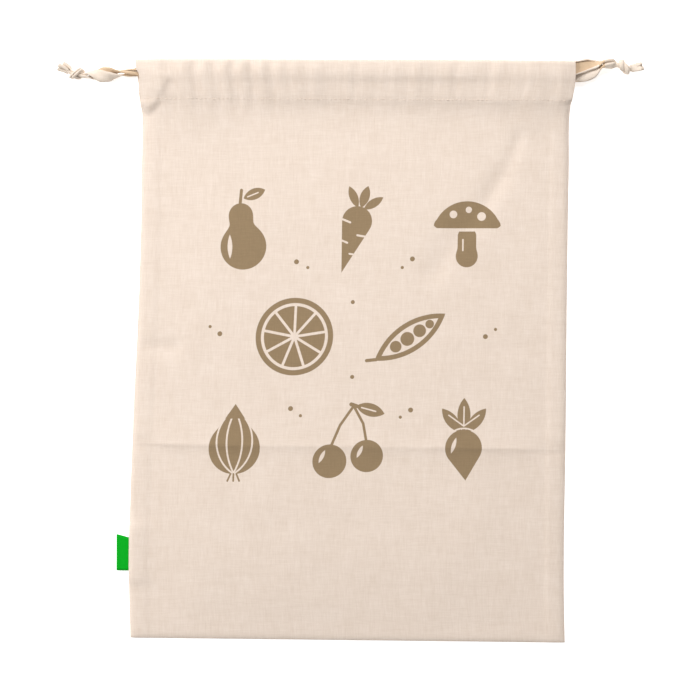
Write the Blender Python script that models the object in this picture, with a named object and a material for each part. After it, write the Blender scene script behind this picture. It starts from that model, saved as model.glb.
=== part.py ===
"""Cotton produce bag with two drawstrings, lying empty on its back with its mouth towards +Y.

One cloth is folded up at the bottom and sewn along both sides. Its two hems are the tunnels that
hold the drawstrings, and the side seams stop below them. +X is the right of the front, +Z is up
through the bag, and z = 0 is the surface that the back lies on.
"""

import math

import bmesh
import bpy

MM = 0.001

# Cloth, tapes and the clearance between neighbours.
CLOTH = 1.0 * MM
TAPE_THICK = 1.0 * MM
TAPE_WIDTH = 13.0 * MM
CLEAR = 0.3 * MM

# The bag: nominal 300 x 404 mm, its bottom fold and its mouth both a little out of square.
WIDTH = 300.0 * MM
HEIGHT = 404.0 * MM
BOTTOM_LEFT_Y, BOTTOM_RIGHT_Y = -200.2 * MM, -203.7 * MM
TOP_LEFT_Y, TOP_RIGHT_Y = 202.6 * MM, 201.4 * MM

# How far each side lies from the middle, by height along the bag.
OUTLINE = (
    # height, left x, right x
    (0.000, -0.1540, 0.1492),
    (0.035, -0.1549, 0.1486),
    (0.150, -0.1521, 0.1499),
    (0.240, -0.1480, 0.1507),
    (0.330, -0.1460, 0.1521),
    (0.376, -0.1465, 0.1534),
    (0.388, -0.1484, 0.1554),
    (0.404, -0.1492, 0.1557),
)

# Hem: depth of each tunnel below the mouth, and the room inside it for two tapes.
HEM_DEPTH = 27.5 * MM
SEAM_ABOVE_EDGE = 1.0 * MM
TUNNEL = 2 * TAPE_THICK + 3 * CLEAR
TUNNEL_FLAT = 15.0 * MM
TUNNEL_ENDS = 45.0 * MM
TUNNEL_FADE = 30.0 * MM
HEM_RECESS = 7.0 * MM
BACK_HEM = 2 * CLOTH + TUNNEL
LIP_ROUND = 0.8 * CLOTH

# Mouth and body: clear heights between the layers.
MOUTH_GAP, MOUTH_GAP_END, MOUTH_DROOP = 4.6 * MM, 1.4 * MM, 19.0 * MM
EDGE_THICK, EDGE_RISE, EDGE_REACH = 2.3 * MM, 2.0 * MM, 5.0 * MM
LOFT, LOFT_REACH, LOFT_FOLD_REACH = 7.0 * MM, 24.0 * MM, 23.0 * MM
SHOULDER_REACH = 12.0 * MM
SEAM_STEP = 0.7 * MM

# Side columns: seam allowance and hem recess, from the side, in the body and at the hem, and the
# depth below the mouth at which the first start to close up to the second.
SIDE_BODY = (0.0, 5.0 * MM, 9.0 * MM, 16.0 * MM)
SIDE_HEM = (0.0, 1.5 * MM, 3.0 * MM, HEM_RECESS)
CLOSING_DEPTH = 50.0 * MM

# Gathers of the front hem, from its left end: where each crest or trough is, and its height.
GATHERS = (
    # from left, height
    (16.0 * MM, 0.1 * MM),
    (20.0 * MM, 1.2 * MM),
    (27.0 * MM, 0.2 * MM),
    (34.0 * MM, 0.9 * MM),
    (41.0 * MM, 0.0 * MM),
    (47.0 * MM, 1.3 * MM),
    (53.0 * MM, 0.5 * MM),
    (58.0 * MM, 1.1 * MM),
    (65.0 * MM, 0.0 * MM),
    (71.0 * MM, 1.0 * MM),
    (77.0 * MM, 0.1 * MM),
    (84.0 * MM, 0.8 * MM),
    (93.0 * MM, 0.0 * MM),
)
GATHER_START, GATHER_FULL, GATHER_LOW, GATHER_REACH = -0.6 * MM, 2.4 * MM, 16.5 * MM, 12.0 * MM
PLAIN_COLUMNS = tuple(x * MM for x in (110, 128, 146, 164, 182, 200, 218, 234, 248, 260, 270, 280))

# Side label, caught in the left seam.
LABEL_LOW_Y, LABEL_HIGH_Y = -153.5 * MM, -127.7 * MM
LABEL_THICK, LABEL_IN, LABEL_OUT = 1.1 * MM, 4.4 * MM, 9.4 * MM
LABEL_RISE = 2.4 * MM
LABEL_EDGE_THICK = 4.0 * MM
LABEL_SWELL, LABEL_SWELL_FADE = 25.0 * MM, 8.0 * MM

# Folds left by packing: a ridge right across, a shorter trough above it, and a soft slanting fold.
CREASE_Y, CREASE_HEIGHT, CREASE_ABOVE, CREASE_BELOW = -69.0 * MM, 0.8 * MM, 16.0 * MM, 6.0 * MM
DENT_DEPTH, DENT_REACH, DENT_HALF = 1.3 * MM, 16.0 * MM, 7.0 * MM
SLANT_TOP, SLANT_END = (0.112, 0.150), (0.054, 0.044)
SLANT_DEPTH, SLANT_HALF = 0.5 * MM, 10.0 * MM
SLANT_FADE_IN, SLANT_FADE_OUT = 0.25, 0.33

# Rows of the cloth, as heights above the bottom fold and depths below the mouth.
LABEL_ROWS = LABEL_LOW_Y - BOTTOM_LEFT_Y - CLEAR, LABEL_HIGH_Y - BOTTOM_LEFT_Y + CLEAR
BODY_ROWS = (
    (0.0, 1.0 * MM, 6.0 * MM, 18.0 * MM, 34.0 * MM)
    + LABEL_ROWS
    + tuple(x * MM for x in (100, 118, 127, 133, 138, 150, 178, 206, 234, 262, 290, 316, 338, 352, 362, 370))
)
HEM_ROWS = tuple(x * MM for x in (27.5, 26.5, 22.0, 17.5, 14.0, 8.0, 1.0, 0.0))

FLAT_ANGLE = 0.0005
SHARP_ANGLE = math.radians(40)

# Layers of a column, from the surface up.
BACK_OUTER, BACK_TUNNEL, BACK_INNER, POCKET, FRONT_INNER, FRONT_TUNNEL, FRONT_OUTER = range(7)

# Drawstrings: middle of a tape below the mouth, in its run and where it turns back.
RUN_DEPTH, TURN_DEPTH, TURN_WIDTH = 7.9 * MM, 20.4 * MM, 10.0 * MM
SHIFT_START, SHIFT_END = 60.0 * MM, 24.0 * MM
INNER_SLOT = CLOTH + CLEAR + TAPE_THICK / 2
OUTER_SLOT = INNER_SLOT + TAPE_THICK + CLEAR
TURN_EDGE = 1.6 * MM
TURN_STEPS = 8
ACROSS = (0.0, 1.0, 0.0)
RUN_STATIONS = tuple(x * MM for x in (7, 11, 16, 23, 31, 40, 50, 62, 85, 120))

# Free ends: two strands turned about one axis, then a knot and two tails.
LEFT_TIE = (
    # out of the casing, below the mouth, axis height, turn, half spread, width, thickness (mm, deg)
    (-7.0, 7.9, None, 0, None, 12.0, 1.0),
    (0.0, 7.4, 5.6, 8, 2.4, 8.6, 1.5),
    (6.0, 7.2, 4.9, 50, 1.5, 7.4, 2.0),
    (13.0, 7.2, 4.7, 98, 1.4, 7.2, 2.2),
    (19.0, 8.4, 4.3, 140, 1.4, 8.4, 2.0),
    (26.0, 9.2, 3.6, 186, 1.4, 8.8, 1.9),
    (34.0, 8.8, 4.6, 262, 1.3, 6.4, 2.2),
    (42.0, 9.7, 5.0, 300, 1.2, 5.6, 2.2),
    (48.5, 5.8, 4.6, 318, 1.2, 5.6, 1.8),
    (54.6, 3.0, 4.4, 328, 1.3, 6.6, 1.4),
)
RIGHT_TIE = (
    (-7.0, 7.9, None, 0, None, 13.0, 1.0),
    (0.0, 8.2, 5.9, 0, 3.4, 13.0, 1.0),
    (6.0, 8.0, 5.4, 6, 2.6, 12.8, 1.1),
    (12.0, 6.6, 5.2, 22, 1.9, 11.2, 1.3),
    (17.0, 3.6, 4.9, 52, 1.4, 7.6, 1.9),
    (22.0, 1.8, 4.6, 88, 1.4, 6.4, 2.2),
    (28.0, 2.3, 4.4, 128, 1.3, 6.2, 2.2),
    (33.6, 4.0, 4.9, 165, 1.2, 5.6, 2.2),
    (39.5, 1.8, 4.6, 190, 1.2, 5.6, 1.8),
    (46.8, 3.4, 4.2, 214, 1.4, 6.6, 1.4),
)
TIE_STEPS = 2
FOLDED_CROWN = 0.6
LEFT_KNOT_ROW, RIGHT_KNOT_ROW = 7, 7
KNOT_HALF = (5.0 * MM, 4.6 * MM, 4.7 * MM)
KNOT_LUMP, KNOT_TURNS = 0.10, 2.2
KNOT_RINGS, KNOT_SIDES = 7, 11


def clear_scene():
    for old in list(bpy.data.objects):
        bpy.data.objects.remove(old, do_unlink=True)


def material(name, colour, roughness, metallic=0.0):
    made = bpy.data.materials.new(name)
    made.use_nodes = True
    shader = made.node_tree.nodes["Principled BSDF"]
    shader.inputs["Base Color"].default_value = (*colour, 1.0)
    shader.inputs["Roughness"].default_value = roughness
    shader.inputs["Metallic"].default_value = metallic
    return made


def add_object(name, points, faces, look):
    mesh = bpy.data.meshes.new(name)
    mesh.from_pydata(points, [], faces)
    mesh.validate()
    mesh.update()
    mesh.materials.append(look)
    mesh.shade_smooth()
    mesh.set_sharp_from_angle(angle=SHARP_ANGLE)
    made = bpy.data.objects.new(name, mesh)
    bpy.context.scene.collection.objects.link(made)
    return made


def settle(x):
    """Rises from 0 at x = 0 towards 1."""
    return 1.0 - math.exp(-max(x, 0.0))


def ease(x):
    x = min(max(x, 0.0), 1.0)
    return x * x * (3.0 - 2.0 * x)


def mix(a, b, share):
    return a + (b - a) * share


def interpolate(rows, at, column):
    """Reads one column of a table whose first column rises, straight between its rows."""
    if at <= rows[0][0]:
        return rows[0][column]
    for low, high in zip(rows, rows[1:]):
        if at <= high[0]:
            return mix(low[column], high[column], (at - low[0]) / (high[0] - low[0]))
    return rows[-1][column]


def place(across, height):
    """The point at a share of the width and a height above the bottom fold, as x, y."""
    left, right = (interpolate(OUTLINE, height, side) for side in (1, 2))
    bottom = mix(BOTTOM_LEFT_Y, BOTTOM_RIGHT_Y, across)
    top = mix(TOP_LEFT_Y, TOP_RIGHT_Y, across)
    return mix(left, right, across), mix(bottom, top, height / HEIGHT)


def side_share(step, height):
    """The share of the width at one of the side columns, which close up below the hem."""
    closing = ease((height - (HEIGHT - CLOSING_DEPTH)) / (CLOSING_DEPTH - HEM_DEPTH))
    return mix(SIDE_BODY[step], SIDE_HEM[step], closing) / WIDTH


def columns():
    """One function for each column, from height to the share of the width."""
    steps = range(len(SIDE_BODY))
    left = [lambda height, step=step: side_share(step, height) for step in steps]
    right = [lambda height, step=step: 1.0 - side_share(step, height) for step in reversed(steps)]
    middle = [x for x, _ in GATHERS[1:]] + list(PLAIN_COLUMNS)
    return left + [lambda height, x=x: x / WIDTH for x in middle] + right


def mouth_gap(side):
    """The clear height of the mouth, by distance from the nearer side."""
    return mix(MOUTH_GAP_END, MOUTH_GAP, settle(side / MOUTH_DROOP))


def tunnel_height(side, depth):
    """The clear height of a tunnel: full round the tapes and at both ends, closing at its seam."""
    falling = ease((depth - TUNNEL_FLAT) / (HEM_DEPTH - SEAM_ABOVE_EDGE - TUNNEL_FLAT))
    at_end = 1.0 - ease((side - TUNNEL_ENDS) / TUNNEL_FADE)
    return TUNNEL * (1.0 - falling * (1.0 - at_end))


def gather(across, depth):
    """The height that the gathers add to the front, fading at the mouth and below the seam."""
    if across * WIDTH < GATHERS[0][0]:
        return 0.0
    rising = ease((depth - GATHER_START) / (GATHER_FULL - GATHER_START))
    fading = math.exp(-max(depth - GATHER_LOW, 0.0) / GATHER_REACH)
    return interpolate(GATHERS + ((WIDTH, 0.0),), across * WIDTH, 1) * rising * fading


def folds(x, y, side):
    """The height that the packing folds add to the front."""
    away = y - CREASE_Y
    reach = CREASE_ABOVE if away > 0 else CREASE_BELOW
    crease = CREASE_HEIGHT * math.exp(-abs(away) / reach)
    dent = DENT_DEPTH * math.exp(-side / DENT_REACH) * math.exp(-((away / DENT_HALF) ** 2))
    (x0, y0), (x1, y1) = SLANT_TOP, SLANT_END
    along_x, along_y = x1 - x0, y1 - y0
    length = math.hypot(along_x, along_y)
    share = ((x - x0) * along_x + (y - y0) * along_y) / length**2
    off = ((x - x0) * along_y - (y - y0) * along_x) / length
    fading = ease(share / SLANT_FADE_IN) * ease((1.0 - share) / SLANT_FADE_OUT)
    slant = SLANT_DEPTH * fading * math.exp(-((off / SLANT_HALF) ** 2))
    return (crease - dent) * settle(side / EDGE_REACH) - slant


def body_top(x, y, side, height, depth):
    """The front's outer height below the hem."""
    off_label = abs(y - (LABEL_LOW_Y + LABEL_HIGH_Y) / 2)
    by_label = ease((LABEL_SWELL - off_label) / LABEL_SWELL_FADE) if x < 0 else 0.0
    edge = mix(EDGE_THICK, LABEL_EDGE_THICK, by_label)
    quick = EDGE_RISE * settle(side / EDGE_REACH) * settle(height / EDGE_REACH)
    slow = LOFT * settle(side / LOFT_REACH) * settle(height / LOFT_FOLD_REACH)
    flat = edge + quick + slow + folds(x, y, side)
    at_hem = BACK_HEM + mouth_gap(side) + CLOTH + tunnel_height(side, HEM_DEPTH) + SEAM_STEP
    return mix(flat, at_hem, math.exp(-(depth - HEM_DEPTH) / SHOULDER_REACH))


def levels(across, height):
    """The eight heights that bound the seven layers at one point."""
    x, y = place(across, height)
    side = min(across, 1.0 - across) * WIDTH
    depth = HEIGHT - height
    if depth > HEM_DEPTH - 0.5 * SEAM_ABOVE_EDGE:
        top = body_top(x, y, side, height, depth) + gather(across, depth)
        under = top - CLOTH
        slot = CLOTH + LABEL_THICK + 2 * CLEAR
        by_slot = LABEL_ROWS[0] - CLEAR < height < LABEL_ROWS[1] + CLEAR
        in_slot = x < 0 and side < SIDE_BODY[1] + CLEAR and by_slot
        ceiling = min(slot, under) if in_slot else under
        return [0.0, CLOTH, CLOTH, CLOTH, ceiling, under, under, top]
    room = tunnel_height(side, depth)
    inner = CLOTH + room
    lip = BACK_HEM + mouth_gap(side)
    outer = lip + CLOTH + room + gather(across, depth)
    found = [0.0, CLOTH, inner, inner + CLOTH, lip, lip + CLOTH, outer, outer + CLOTH]
    if depth < SEAM_ABOVE_EDGE / 2:
        # The folded edges of both hems are rounded.
        for bound, way in zip((0, 3, 4, 7), (1, -1, 1, -1)):
            found[bound] += way * LIP_ROUND
    return found


def is_cloth(column, row, layer, column_count, row_count):
    """Whether a cell of the bag's grid is cloth and not a hollow."""
    from_side = min(column, column_count - 1 - column)
    first_hem_row = len(BODY_ROWS)
    if row == 0:
        return True
    if row < first_hem_row:
        label_row = BODY_ROWS.index(LABEL_ROWS[0])
        if row == label_row and column == 0:
            return layer != POCKET
        return layer != POCKET or from_side < 2
    if row in (first_hem_row, row_count - 1):
        return layer != POCKET
    if layer in (BACK_OUTER, FRONT_OUTER):
        return True
    return layer in (BACK_INNER, FRONT_INNER) and from_side >= len(SIDE_HEM) - 1


def bag_cloth(look):
    """The folded and sewn cloth: a grid of cells, whose outside faces become one closed mesh."""
    shares = columns()
    heights = BODY_ROWS + tuple(HEIGHT - depth for depth in HEM_ROWS)
    points, index, corner = [], {}, {}
    for i, share in enumerate(shares):
        for j, height in enumerate(heights):
            across = share(height)
            x, y = place(across, height)
            for k, z in enumerate(levels(across, height)):
                key = i, j, round(z * 1e7)
                if key not in index:
                    index[key] = len(points)
                    points.append((x, y, z))
                corner[i, j, k] = index[key]
    column_count, row_count, layer_count = len(shares) - 1, len(heights) - 1, 7

    def filled(i, j, k):
        inside = 0 <= i < column_count and 0 <= j < row_count and 0 <= k < layer_count
        return inside and is_cloth(i, j, k, column_count, row_count)

    # Each side of a cell: the neighbour there, and its corners as seen from outside.
    sides = (
        ((-1, 0, 0), ((0, 0, 0), (0, 0, 1), (0, 1, 1), (0, 1, 0))),
        ((1, 0, 0), ((1, 0, 0), (1, 1, 0), (1, 1, 1), (1, 0, 1))),
        ((0, -1, 0), ((0, 0, 0), (1, 0, 0), (1, 0, 1), (0, 0, 1))),
        ((0, 1, 0), ((0, 1, 0), (0, 1, 1), (1, 1, 1), (1, 1, 0))),
        ((0, 0, -1), ((0, 0, 0), (0, 1, 0), (1, 1, 0), (1, 0, 0))),
        ((0, 0, 1), ((0, 0, 1), (1, 0, 1), (1, 1, 1), (0, 1, 1))),
    )
    faces = []
    for i in range(column_count):
        for j in range(row_count):
            for k in range(layer_count):
                if not filled(i, j, k):
                    continue
                for (di, dj, dk), corners in sides:
                    if filled(i + di, j + dj, k + dk):
                        continue
                    ring = [corner[i + a, j + b, k + c] for a, b, c in corners]
                    # Both halves of a quad share the diagonal from its first corner.
                    for a, b, c in ((0, 1, 2), (0, 2, 3)):
                        if len({ring[a], ring[b], ring[c]}) == 3:
                            faces.append((ring[a], ring[b], ring[c]))
    made = add_object("bag_cloth", points, faces, look)
    join_flat_faces(made)
    return made


def join_flat_faces(made):
    """Joins faces that lie in one plane, such as the back's, into single ones."""
    work = bmesh.new()
    work.from_mesh(made.data)
    bmesh.ops.dissolve_limit(
        work, angle_limit=FLAT_ANGLE, use_dissolve_boundaries=False, verts=work.verts, edges=work.edges
    )
    work.to_mesh(made.data)
    work.free()


def catmull(rows, steps):
    """Rows of numbers, with a smooth curve's extra rows between them."""
    made = []
    for n in range(len(rows) - 1):
        before, after = rows[max(n - 1, 0)], rows[min(n + 2, len(rows) - 1)]
        for step in range(steps):
            t = step / steps
            row = []
            for a, b, c, d in zip(before, rows[n], rows[n + 1], after):
                curve = 2 * b + (c - a) * t + (2 * a - 5 * b + 4 * c - d) * t * t
                row.append(0.5 * (curve + (3 * b - a - 3 * c + d) * t**3))
            made.append(row)
    made.append(list(rows[-1]))
    return made


def end_share(from_end, end):
    """The share of the width at a distance in from the left (-1) or right (+1) end of the hem."""
    return from_end / WIDTH if end < 0 else 1.0 - from_end / WIDTH


def at_hem(from_end, end, depth):
    """The point x, y at a distance in from one end of the hem, and a depth below the mouth."""
    return place(end_share(from_end, end), HEIGHT - depth)


def slot_height(side, slot, front):
    """The middle height of a tape in one slot of a tunnel."""
    if front:
        return BACK_HEM + mouth_gap(side) + slot
    return BACK_HEM - slot


def tie_stations(table, tie_end, slot):
    """Stations of both strands of a free end, from inside the casing to the tips."""
    upper, lower = (slot_height(-table[0][0] * MM, slot, front) for front in (True, False))
    first = list(table[0])
    first[2] = (upper + lower) / 2 / MM
    first[4] = (upper - lower) / 2 / MM
    strands = [], []
    for out, below, axis, turn, spread, width, thick in catmull([first, *table[1:]], TIE_STEPS):
        x, y = at_hem(0.0, tie_end, below * MM)
        x += tie_end * out * MM
        angle = math.radians(turn)
        up = math.sin(angle), math.cos(angle)
        for strand, way in zip(strands, (1, -1)):
            normal = (0.0, way * up[0], way * up[1])
            middle = (x, y + normal[1] * spread * MM, axis * MM + normal[2] * spread * MM)
            strand.append((middle, normal, (0.0, up[1], -up[0]), width * MM, thick * MM))
    return strands


def run_stations(tie_end, slot, front):
    """Stations of a tape along one tunnel, from beside its free end to where it turns back."""
    stations = []
    ends = [(d, tie_end) for d in RUN_STATIONS] + [(d, -tie_end) for d in reversed(RUN_STATIONS)]
    for from_end, end in ends:
        turning = end != tie_end
        share = ease((SHIFT_START - from_end) / (SHIFT_START - SHIFT_END)) if turning else 0.0
        depth = mix(RUN_DEPTH, TURN_DEPTH, share)
        width = mix(TAPE_WIDTH, TURN_WIDTH, share)
        x, y = at_hem(from_end, end, depth)
        z = slot_height(from_end, slot, front)
        stations.append(((x, y, z), (0.0, 0.0, 1.0 if front else -1.0), ACROSS, width, TAPE_THICK))
    return stations


def turn_stations(end, slot):
    """Stations of a tape that goes round the end of the hem, from the front tunnel to the back."""
    side = HEM_RECESS
    # The radius depends on where the turn starts, which depends on the radius: this settles both.
    for _ in range(4):
        high, low = (slot_height(side, slot, front) for front in (True, False))
        radius = (high - low) / 2
        side = TURN_EDGE + radius
    stations = []
    for step in range(TURN_STEPS + 1):
        angle = math.pi * step / TURN_STEPS
        out, up = math.sin(angle), math.cos(angle)
        x, y = at_hem(side - radius * out, end, TURN_DEPTH)
        middle = (x, y, low + radius + radius * up)
        stations.append((middle, (end * out, 0.0, up), ACROSS, TURN_WIDTH, TAPE_THICK))
    return stations


def strip(stations):
    """A closed strip of cloth through its stations, with the outer face crowned where it is folded."""
    points, faces = [], []
    for middle, normal, across, width, thick in stations:
        soft = FOLDED_CROWN * min(max(thick / TAPE_THICK - 1.0, 0.0), 1.0)
        shape = (
            (-0.5, -0.5),
            (0.5, -0.5),
            (0.5, 0.5 - 0.5 * soft),
            (0.25, 0.5),
            (-0.25, 0.5),
            (-0.5, 0.5 - 0.5 * soft),
        )
        for along, out in shape:
            a, b = along * width, out * thick
            points.append(tuple(m + a * w + b * n for m, w, n in zip(middle, across, normal)))
    sides = len(shape)
    for n in range(len(stations) - 1):
        for k in range(sides):
            a, b = n * sides + k, n * sides + (k + 1) % sides
            faces.append((a, b, b + sides, a + sides))
    faces.append(tuple(range(sides - 1, -1, -1)))
    last = (len(stations) - 1) * sides
    faces.append(tuple(range(last, last + sides)))
    return points, faces


def knot(centre):
    """The lump of an overhand knot, with the band that wraps it as a slanting ridge."""
    points, faces = [], []
    for ring in range(1, KNOT_RINGS):
        polar = math.pi * ring / KNOT_RINGS
        for side in range(KNOT_SIDES):
            angle = 2 * math.pi * side / KNOT_SIDES
            lump = 1.0 + KNOT_LUMP * math.cos(2 * angle - KNOT_TURNS * 2 * polar)
            spread = math.sin(polar) * lump
            points.append(
                (
                    centre[0] + KNOT_HALF[0] * math.cos(polar),
                    centre[1] + KNOT_HALF[1] * spread * math.cos(angle),
                    centre[2] + KNOT_HALF[2] * spread * math.sin(angle),
                )
            )
    first, last = len(points), len(points) + 1
    points.append((centre[0] + KNOT_HALF[0], centre[1], centre[2]))
    points.append((centre[0] - KNOT_HALF[0], centre[1], centre[2]))
    for side in range(KNOT_SIDES):
        after = (side + 1) % KNOT_SIDES
        faces.append((first, side, after))
        base = (KNOT_RINGS - 2) * KNOT_SIDES
        faces.append((last, base + after, base + side))
        for ring in range(KNOT_RINGS - 2):
            a, b = ring * KNOT_SIDES + side, ring * KNOT_SIDES + after
            faces.append((a, a + KNOT_SIDES, b + KNOT_SIDES, b))
    return points, faces


def face_out(made):
    """Turns a closed mesh's faces to point out."""
    work = bmesh.new()
    work.from_mesh(made.data)
    bmesh.ops.recalc_face_normals(work, faces=work.faces)
    work.to_mesh(made.data)
    work.free()


def drawstring(name, tie_end, slot, table, knot_row, look):
    """One tape: a free end, its run through the front hem, round, and back through the back hem."""
    front_strand, back_strand = tie_stations(table, tie_end, slot)
    stations = list(reversed(front_strand))
    stations += run_stations(tie_end, slot, True)[1:]
    stations += turn_stations(-tie_end, slot)
    stations += list(reversed(run_stations(tie_end, slot, False)))[:-1]
    stations += back_strand
    made = add_object(name, *strip(stations), look)
    face_out(made)
    out, below, axis = table[knot_row][:3]
    x, y = at_hem(0.0, tie_end, below * MM)
    lump = add_object(name + "_knot", *knot((x + tie_end * out * MM, y, axis * MM)), look)
    face_out(lump)
    lump.hide_render = True
    lump.display_type = "WIRE"
    union = made.modifiers.new("tie the knot", "BOOLEAN")
    union.operation = "UNION"
    union.object = lump
    return made


def side_label(look):
    """A woven label, folded double and caught in the left seam, with its fold outwards."""
    edge = interpolate(OUTLINE, (LABEL_ROWS[0] + LABEL_ROWS[1]) / 2, 1)
    half = LABEL_THICK / 2
    in_seam = CLOTH + CLEAR + half
    sections = (
        # out of the edge, middle height, half thickness, share of the rise of its upper edge
        (-LABEL_IN, in_seam, half, 0.0),
        (0.5 * MM, in_seam, half, 0.0),
        (3.5 * MM, in_seam - 0.5 * MM, half, 0.35),
        (LABEL_OUT - 1.0 * MM, half + CLEAR, half, 0.9),
        (LABEL_OUT - 0.3 * MM, half + CLEAR, half * 0.8, 1.0),
        (LABEL_OUT, half + CLEAR, half * 0.35, 1.0),
    )
    points, faces = [], []
    low = LABEL_LOW_Y + CLEAR
    for out, middle, thick, rise in sections:
        top = LABEL_HIGH_Y - CLEAR - LABEL_RISE * (1.0 - rise)
        for y, side in ((low, -1), (low, 1), (top, 1), (top, -1)):
            points.append((edge - out, y, middle + side * thick))
    for n in range(len(sections) - 1):
        for k in range(4):
            a, b = 4 * n + k, 4 * n + (k + 1) % 4
            faces.append((a, b, b + 4, a + 4))
    last = 4 * (len(sections) - 1)
    faces.append((3, 2, 1, 0))
    faces.append((last, last + 1, last + 2, last + 3))
    made = add_object("side_label", points, faces, look)
    face_out(made)
    return made


def main():
    clear_scene()
    cotton = material("natural_cotton", (0.87, 0.77, 0.66), 0.9)
    tape = material("cotton_tape", (0.86, 0.76, 0.65), 0.88)
    green = material("green_woven_label", (0.0, 0.42, 0.03), 0.6)
    bag_cloth(cotton)
    drawstring("drawstring_left", -1, INNER_SLOT, LEFT_TIE, LEFT_KNOT_ROW, tape)
    drawstring("drawstring_right", 1, OUTER_SLOT, RIGHT_TIE, RIGHT_KNOT_ROW, tape)
    side_label(green)


main()
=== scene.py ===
"""Looks of the cotton produce bag: its cloth, stitching, drawstrings, label, print, light and camera.

The bag lies on its back with its mouth towards +Y. Its cloth is one sheet: from the front hem's
turned-in edge over the front's mouth, down the front, round the bottom fold, up the back and over
the back's mouth into the back hem. Lengths are metres unless a name or a comment says millimetres.
"""

import math

import bpy
import numpy as np
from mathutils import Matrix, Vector, noise


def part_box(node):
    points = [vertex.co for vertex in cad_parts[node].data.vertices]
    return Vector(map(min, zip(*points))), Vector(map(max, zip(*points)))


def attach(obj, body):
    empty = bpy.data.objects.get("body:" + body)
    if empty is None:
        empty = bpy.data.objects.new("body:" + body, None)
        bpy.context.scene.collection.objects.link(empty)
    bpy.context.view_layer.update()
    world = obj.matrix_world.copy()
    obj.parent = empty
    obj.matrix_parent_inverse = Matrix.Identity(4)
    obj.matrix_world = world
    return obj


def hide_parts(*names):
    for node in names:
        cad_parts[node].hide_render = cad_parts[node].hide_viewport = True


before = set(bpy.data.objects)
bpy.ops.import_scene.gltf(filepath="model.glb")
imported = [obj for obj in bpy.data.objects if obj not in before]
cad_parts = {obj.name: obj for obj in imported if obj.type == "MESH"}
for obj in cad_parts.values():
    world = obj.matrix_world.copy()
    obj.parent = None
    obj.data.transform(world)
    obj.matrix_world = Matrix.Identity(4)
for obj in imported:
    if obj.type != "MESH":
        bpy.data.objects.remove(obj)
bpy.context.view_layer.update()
MM = 0.001


def mm(*sizes):
    """Millimetres in metres."""
    return [size * MM for size in sizes]


# ---------------- the bag's shape, as the CAD has it
WIDTH, HEIGHT = mm(300, 404)
BOTTOM_LEFT_Y, BOTTOM_RIGHT_Y = mm(-200.2, -203.7)
TOP_LEFT_Y, TOP_RIGHT_Y = mm(202.6, 201.4)
OUTLINE = np.array([
    # height, left x, right x
    (0.000, -0.1540, 0.1492),
    (0.035, -0.1549, 0.1486),
    (0.150, -0.1521, 0.1499),
    (0.240, -0.1480, 0.1507),
    (0.330, -0.1460, 0.1521),
    (0.376, -0.1465, 0.1534),
    (0.388, -0.1484, 0.1554),
    (0.404, -0.1492, 0.1557),
])
CAD_CLOTH, CAD_TAPE, CLEAR = mm(1.0, 1.0, 0.3)
TUNNEL = 2 * CAD_TAPE + 3 * CLEAR
TUNNEL_ENDS, TUNNEL_FADE, TUNNEL_END_ROOM = 40 * MM, 35 * MM, 0.5
BACK_HEM = 2 * CAD_CLOTH + TUNNEL
MOUTH_GAP, MOUTH_GAP_END, MOUTH_DROOP = mm(4.6, 1.4, 19)
LABEL_LOW_Y, LABEL_HIGH_Y = mm(-153.5, -127.7)

# ---------------- the real cloth
# The cloth's thickness, and how far apart two layers of it lie.
CLOTH, LAYER = mm(0.5, 0.6)
HEM_DEPTH, SEAM_DEPTH = mm(28.6, 27.7)
SEAM_STEP, FRONT_GROOVE, BACK_GROOVE, GROOVE_HALF = mm(0.5, 0.28, 0.30, 1.0)
ALLOWANCE, HEM_TURN_IN = mm(9.0, 5.0)
# The flaps inside the hems: how far they stop short of the sides, their first and last row, their rise,
# and the depths from which they narrow and rise, over the same length.
FLAP_RECESS, FLAP_START, FLAP_DEPTH, FLAP_RISE = mm(7.0, 3.2, 29.3, 0.3)
FLAP_NARROWS, FLAP_LEAVES, FLAP_OVER = mm(3, 17, 9)
# The side edges, the front's crown inside them, and the ridge over the edge of the seam allowance.
EDGE_THICK, EDGE_RISE, EDGE_REACH = mm(2.3, 1.5, 1.5)
LOFT, LOFT_REACH, LOFT_FOLD_REACH = mm(3.7, 45, 42)
RIDGE_HEIGHT, RIDGE_RISE, RIDGE_BELOW = mm(0.5, 4, 12)
RIDGE_FROM, RIDGE_FADE = mm(10.3, 4.2)
LABEL_EDGE_THICK, LABEL_SWELL, LABEL_SWELL_FADE, LABEL_SWELL_IN = mm(4.0, 25, 8, 13)
# The fall from the hem to the front below it. It is longer at the sides, and the pairs are left, right.
SHOULDER_REACH, SHOULDER_REACH_END, SHOULDER_FROM = mm(12, 24, 12)
SHOULDER_WIDE, SHOULDER_INSIDE = mm(100, 55), mm(4, 2.2)
# Where the hem gives way to the body, and how much later and longer that is at the left end.
NECK_START, NECK_END, NECK_LATER, NECK_LONGER = mm(26.4, 30.4, 3.2, 8.5)
LEFT_END, LEFT_END_FADE = mm(7, 9)
# How the back's side edges lift just below the hem, and between which depths.
BACK_LIFT, BACK_LIFT_REACH = mm(1.6, 5)
BACK_LIFT_START, BACK_LIFT_RISE, BACK_LIFT_END, BACK_LIFT_FADE = mm(24, 5, 30, 10)
# How far the front hem stops short of the back one at its left end, and between which depths.
INSET, INSET_REACH = mm(1.9, 14)
INSET_START, INSET_RISE, INSET_END, INSET_FADE = mm(6.5, 4, 11, 15)
GATHER_DEPTH, GATHER_FADE, FINE_GATHER, PUCKER = mm(20, 8, 0.55, 0.20)
# The bottom fold's first row beside it, its length along the cloth, and the steps round every fold.
FOLD_ROW, FOLD_LENGTH, ARC_STEPS = 0.9 * MM, math.pi * MM, 6
BACK_RADIUS = (2 * CAD_CLOTH + TUNNEL - 2 * CLOTH) / 2

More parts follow.
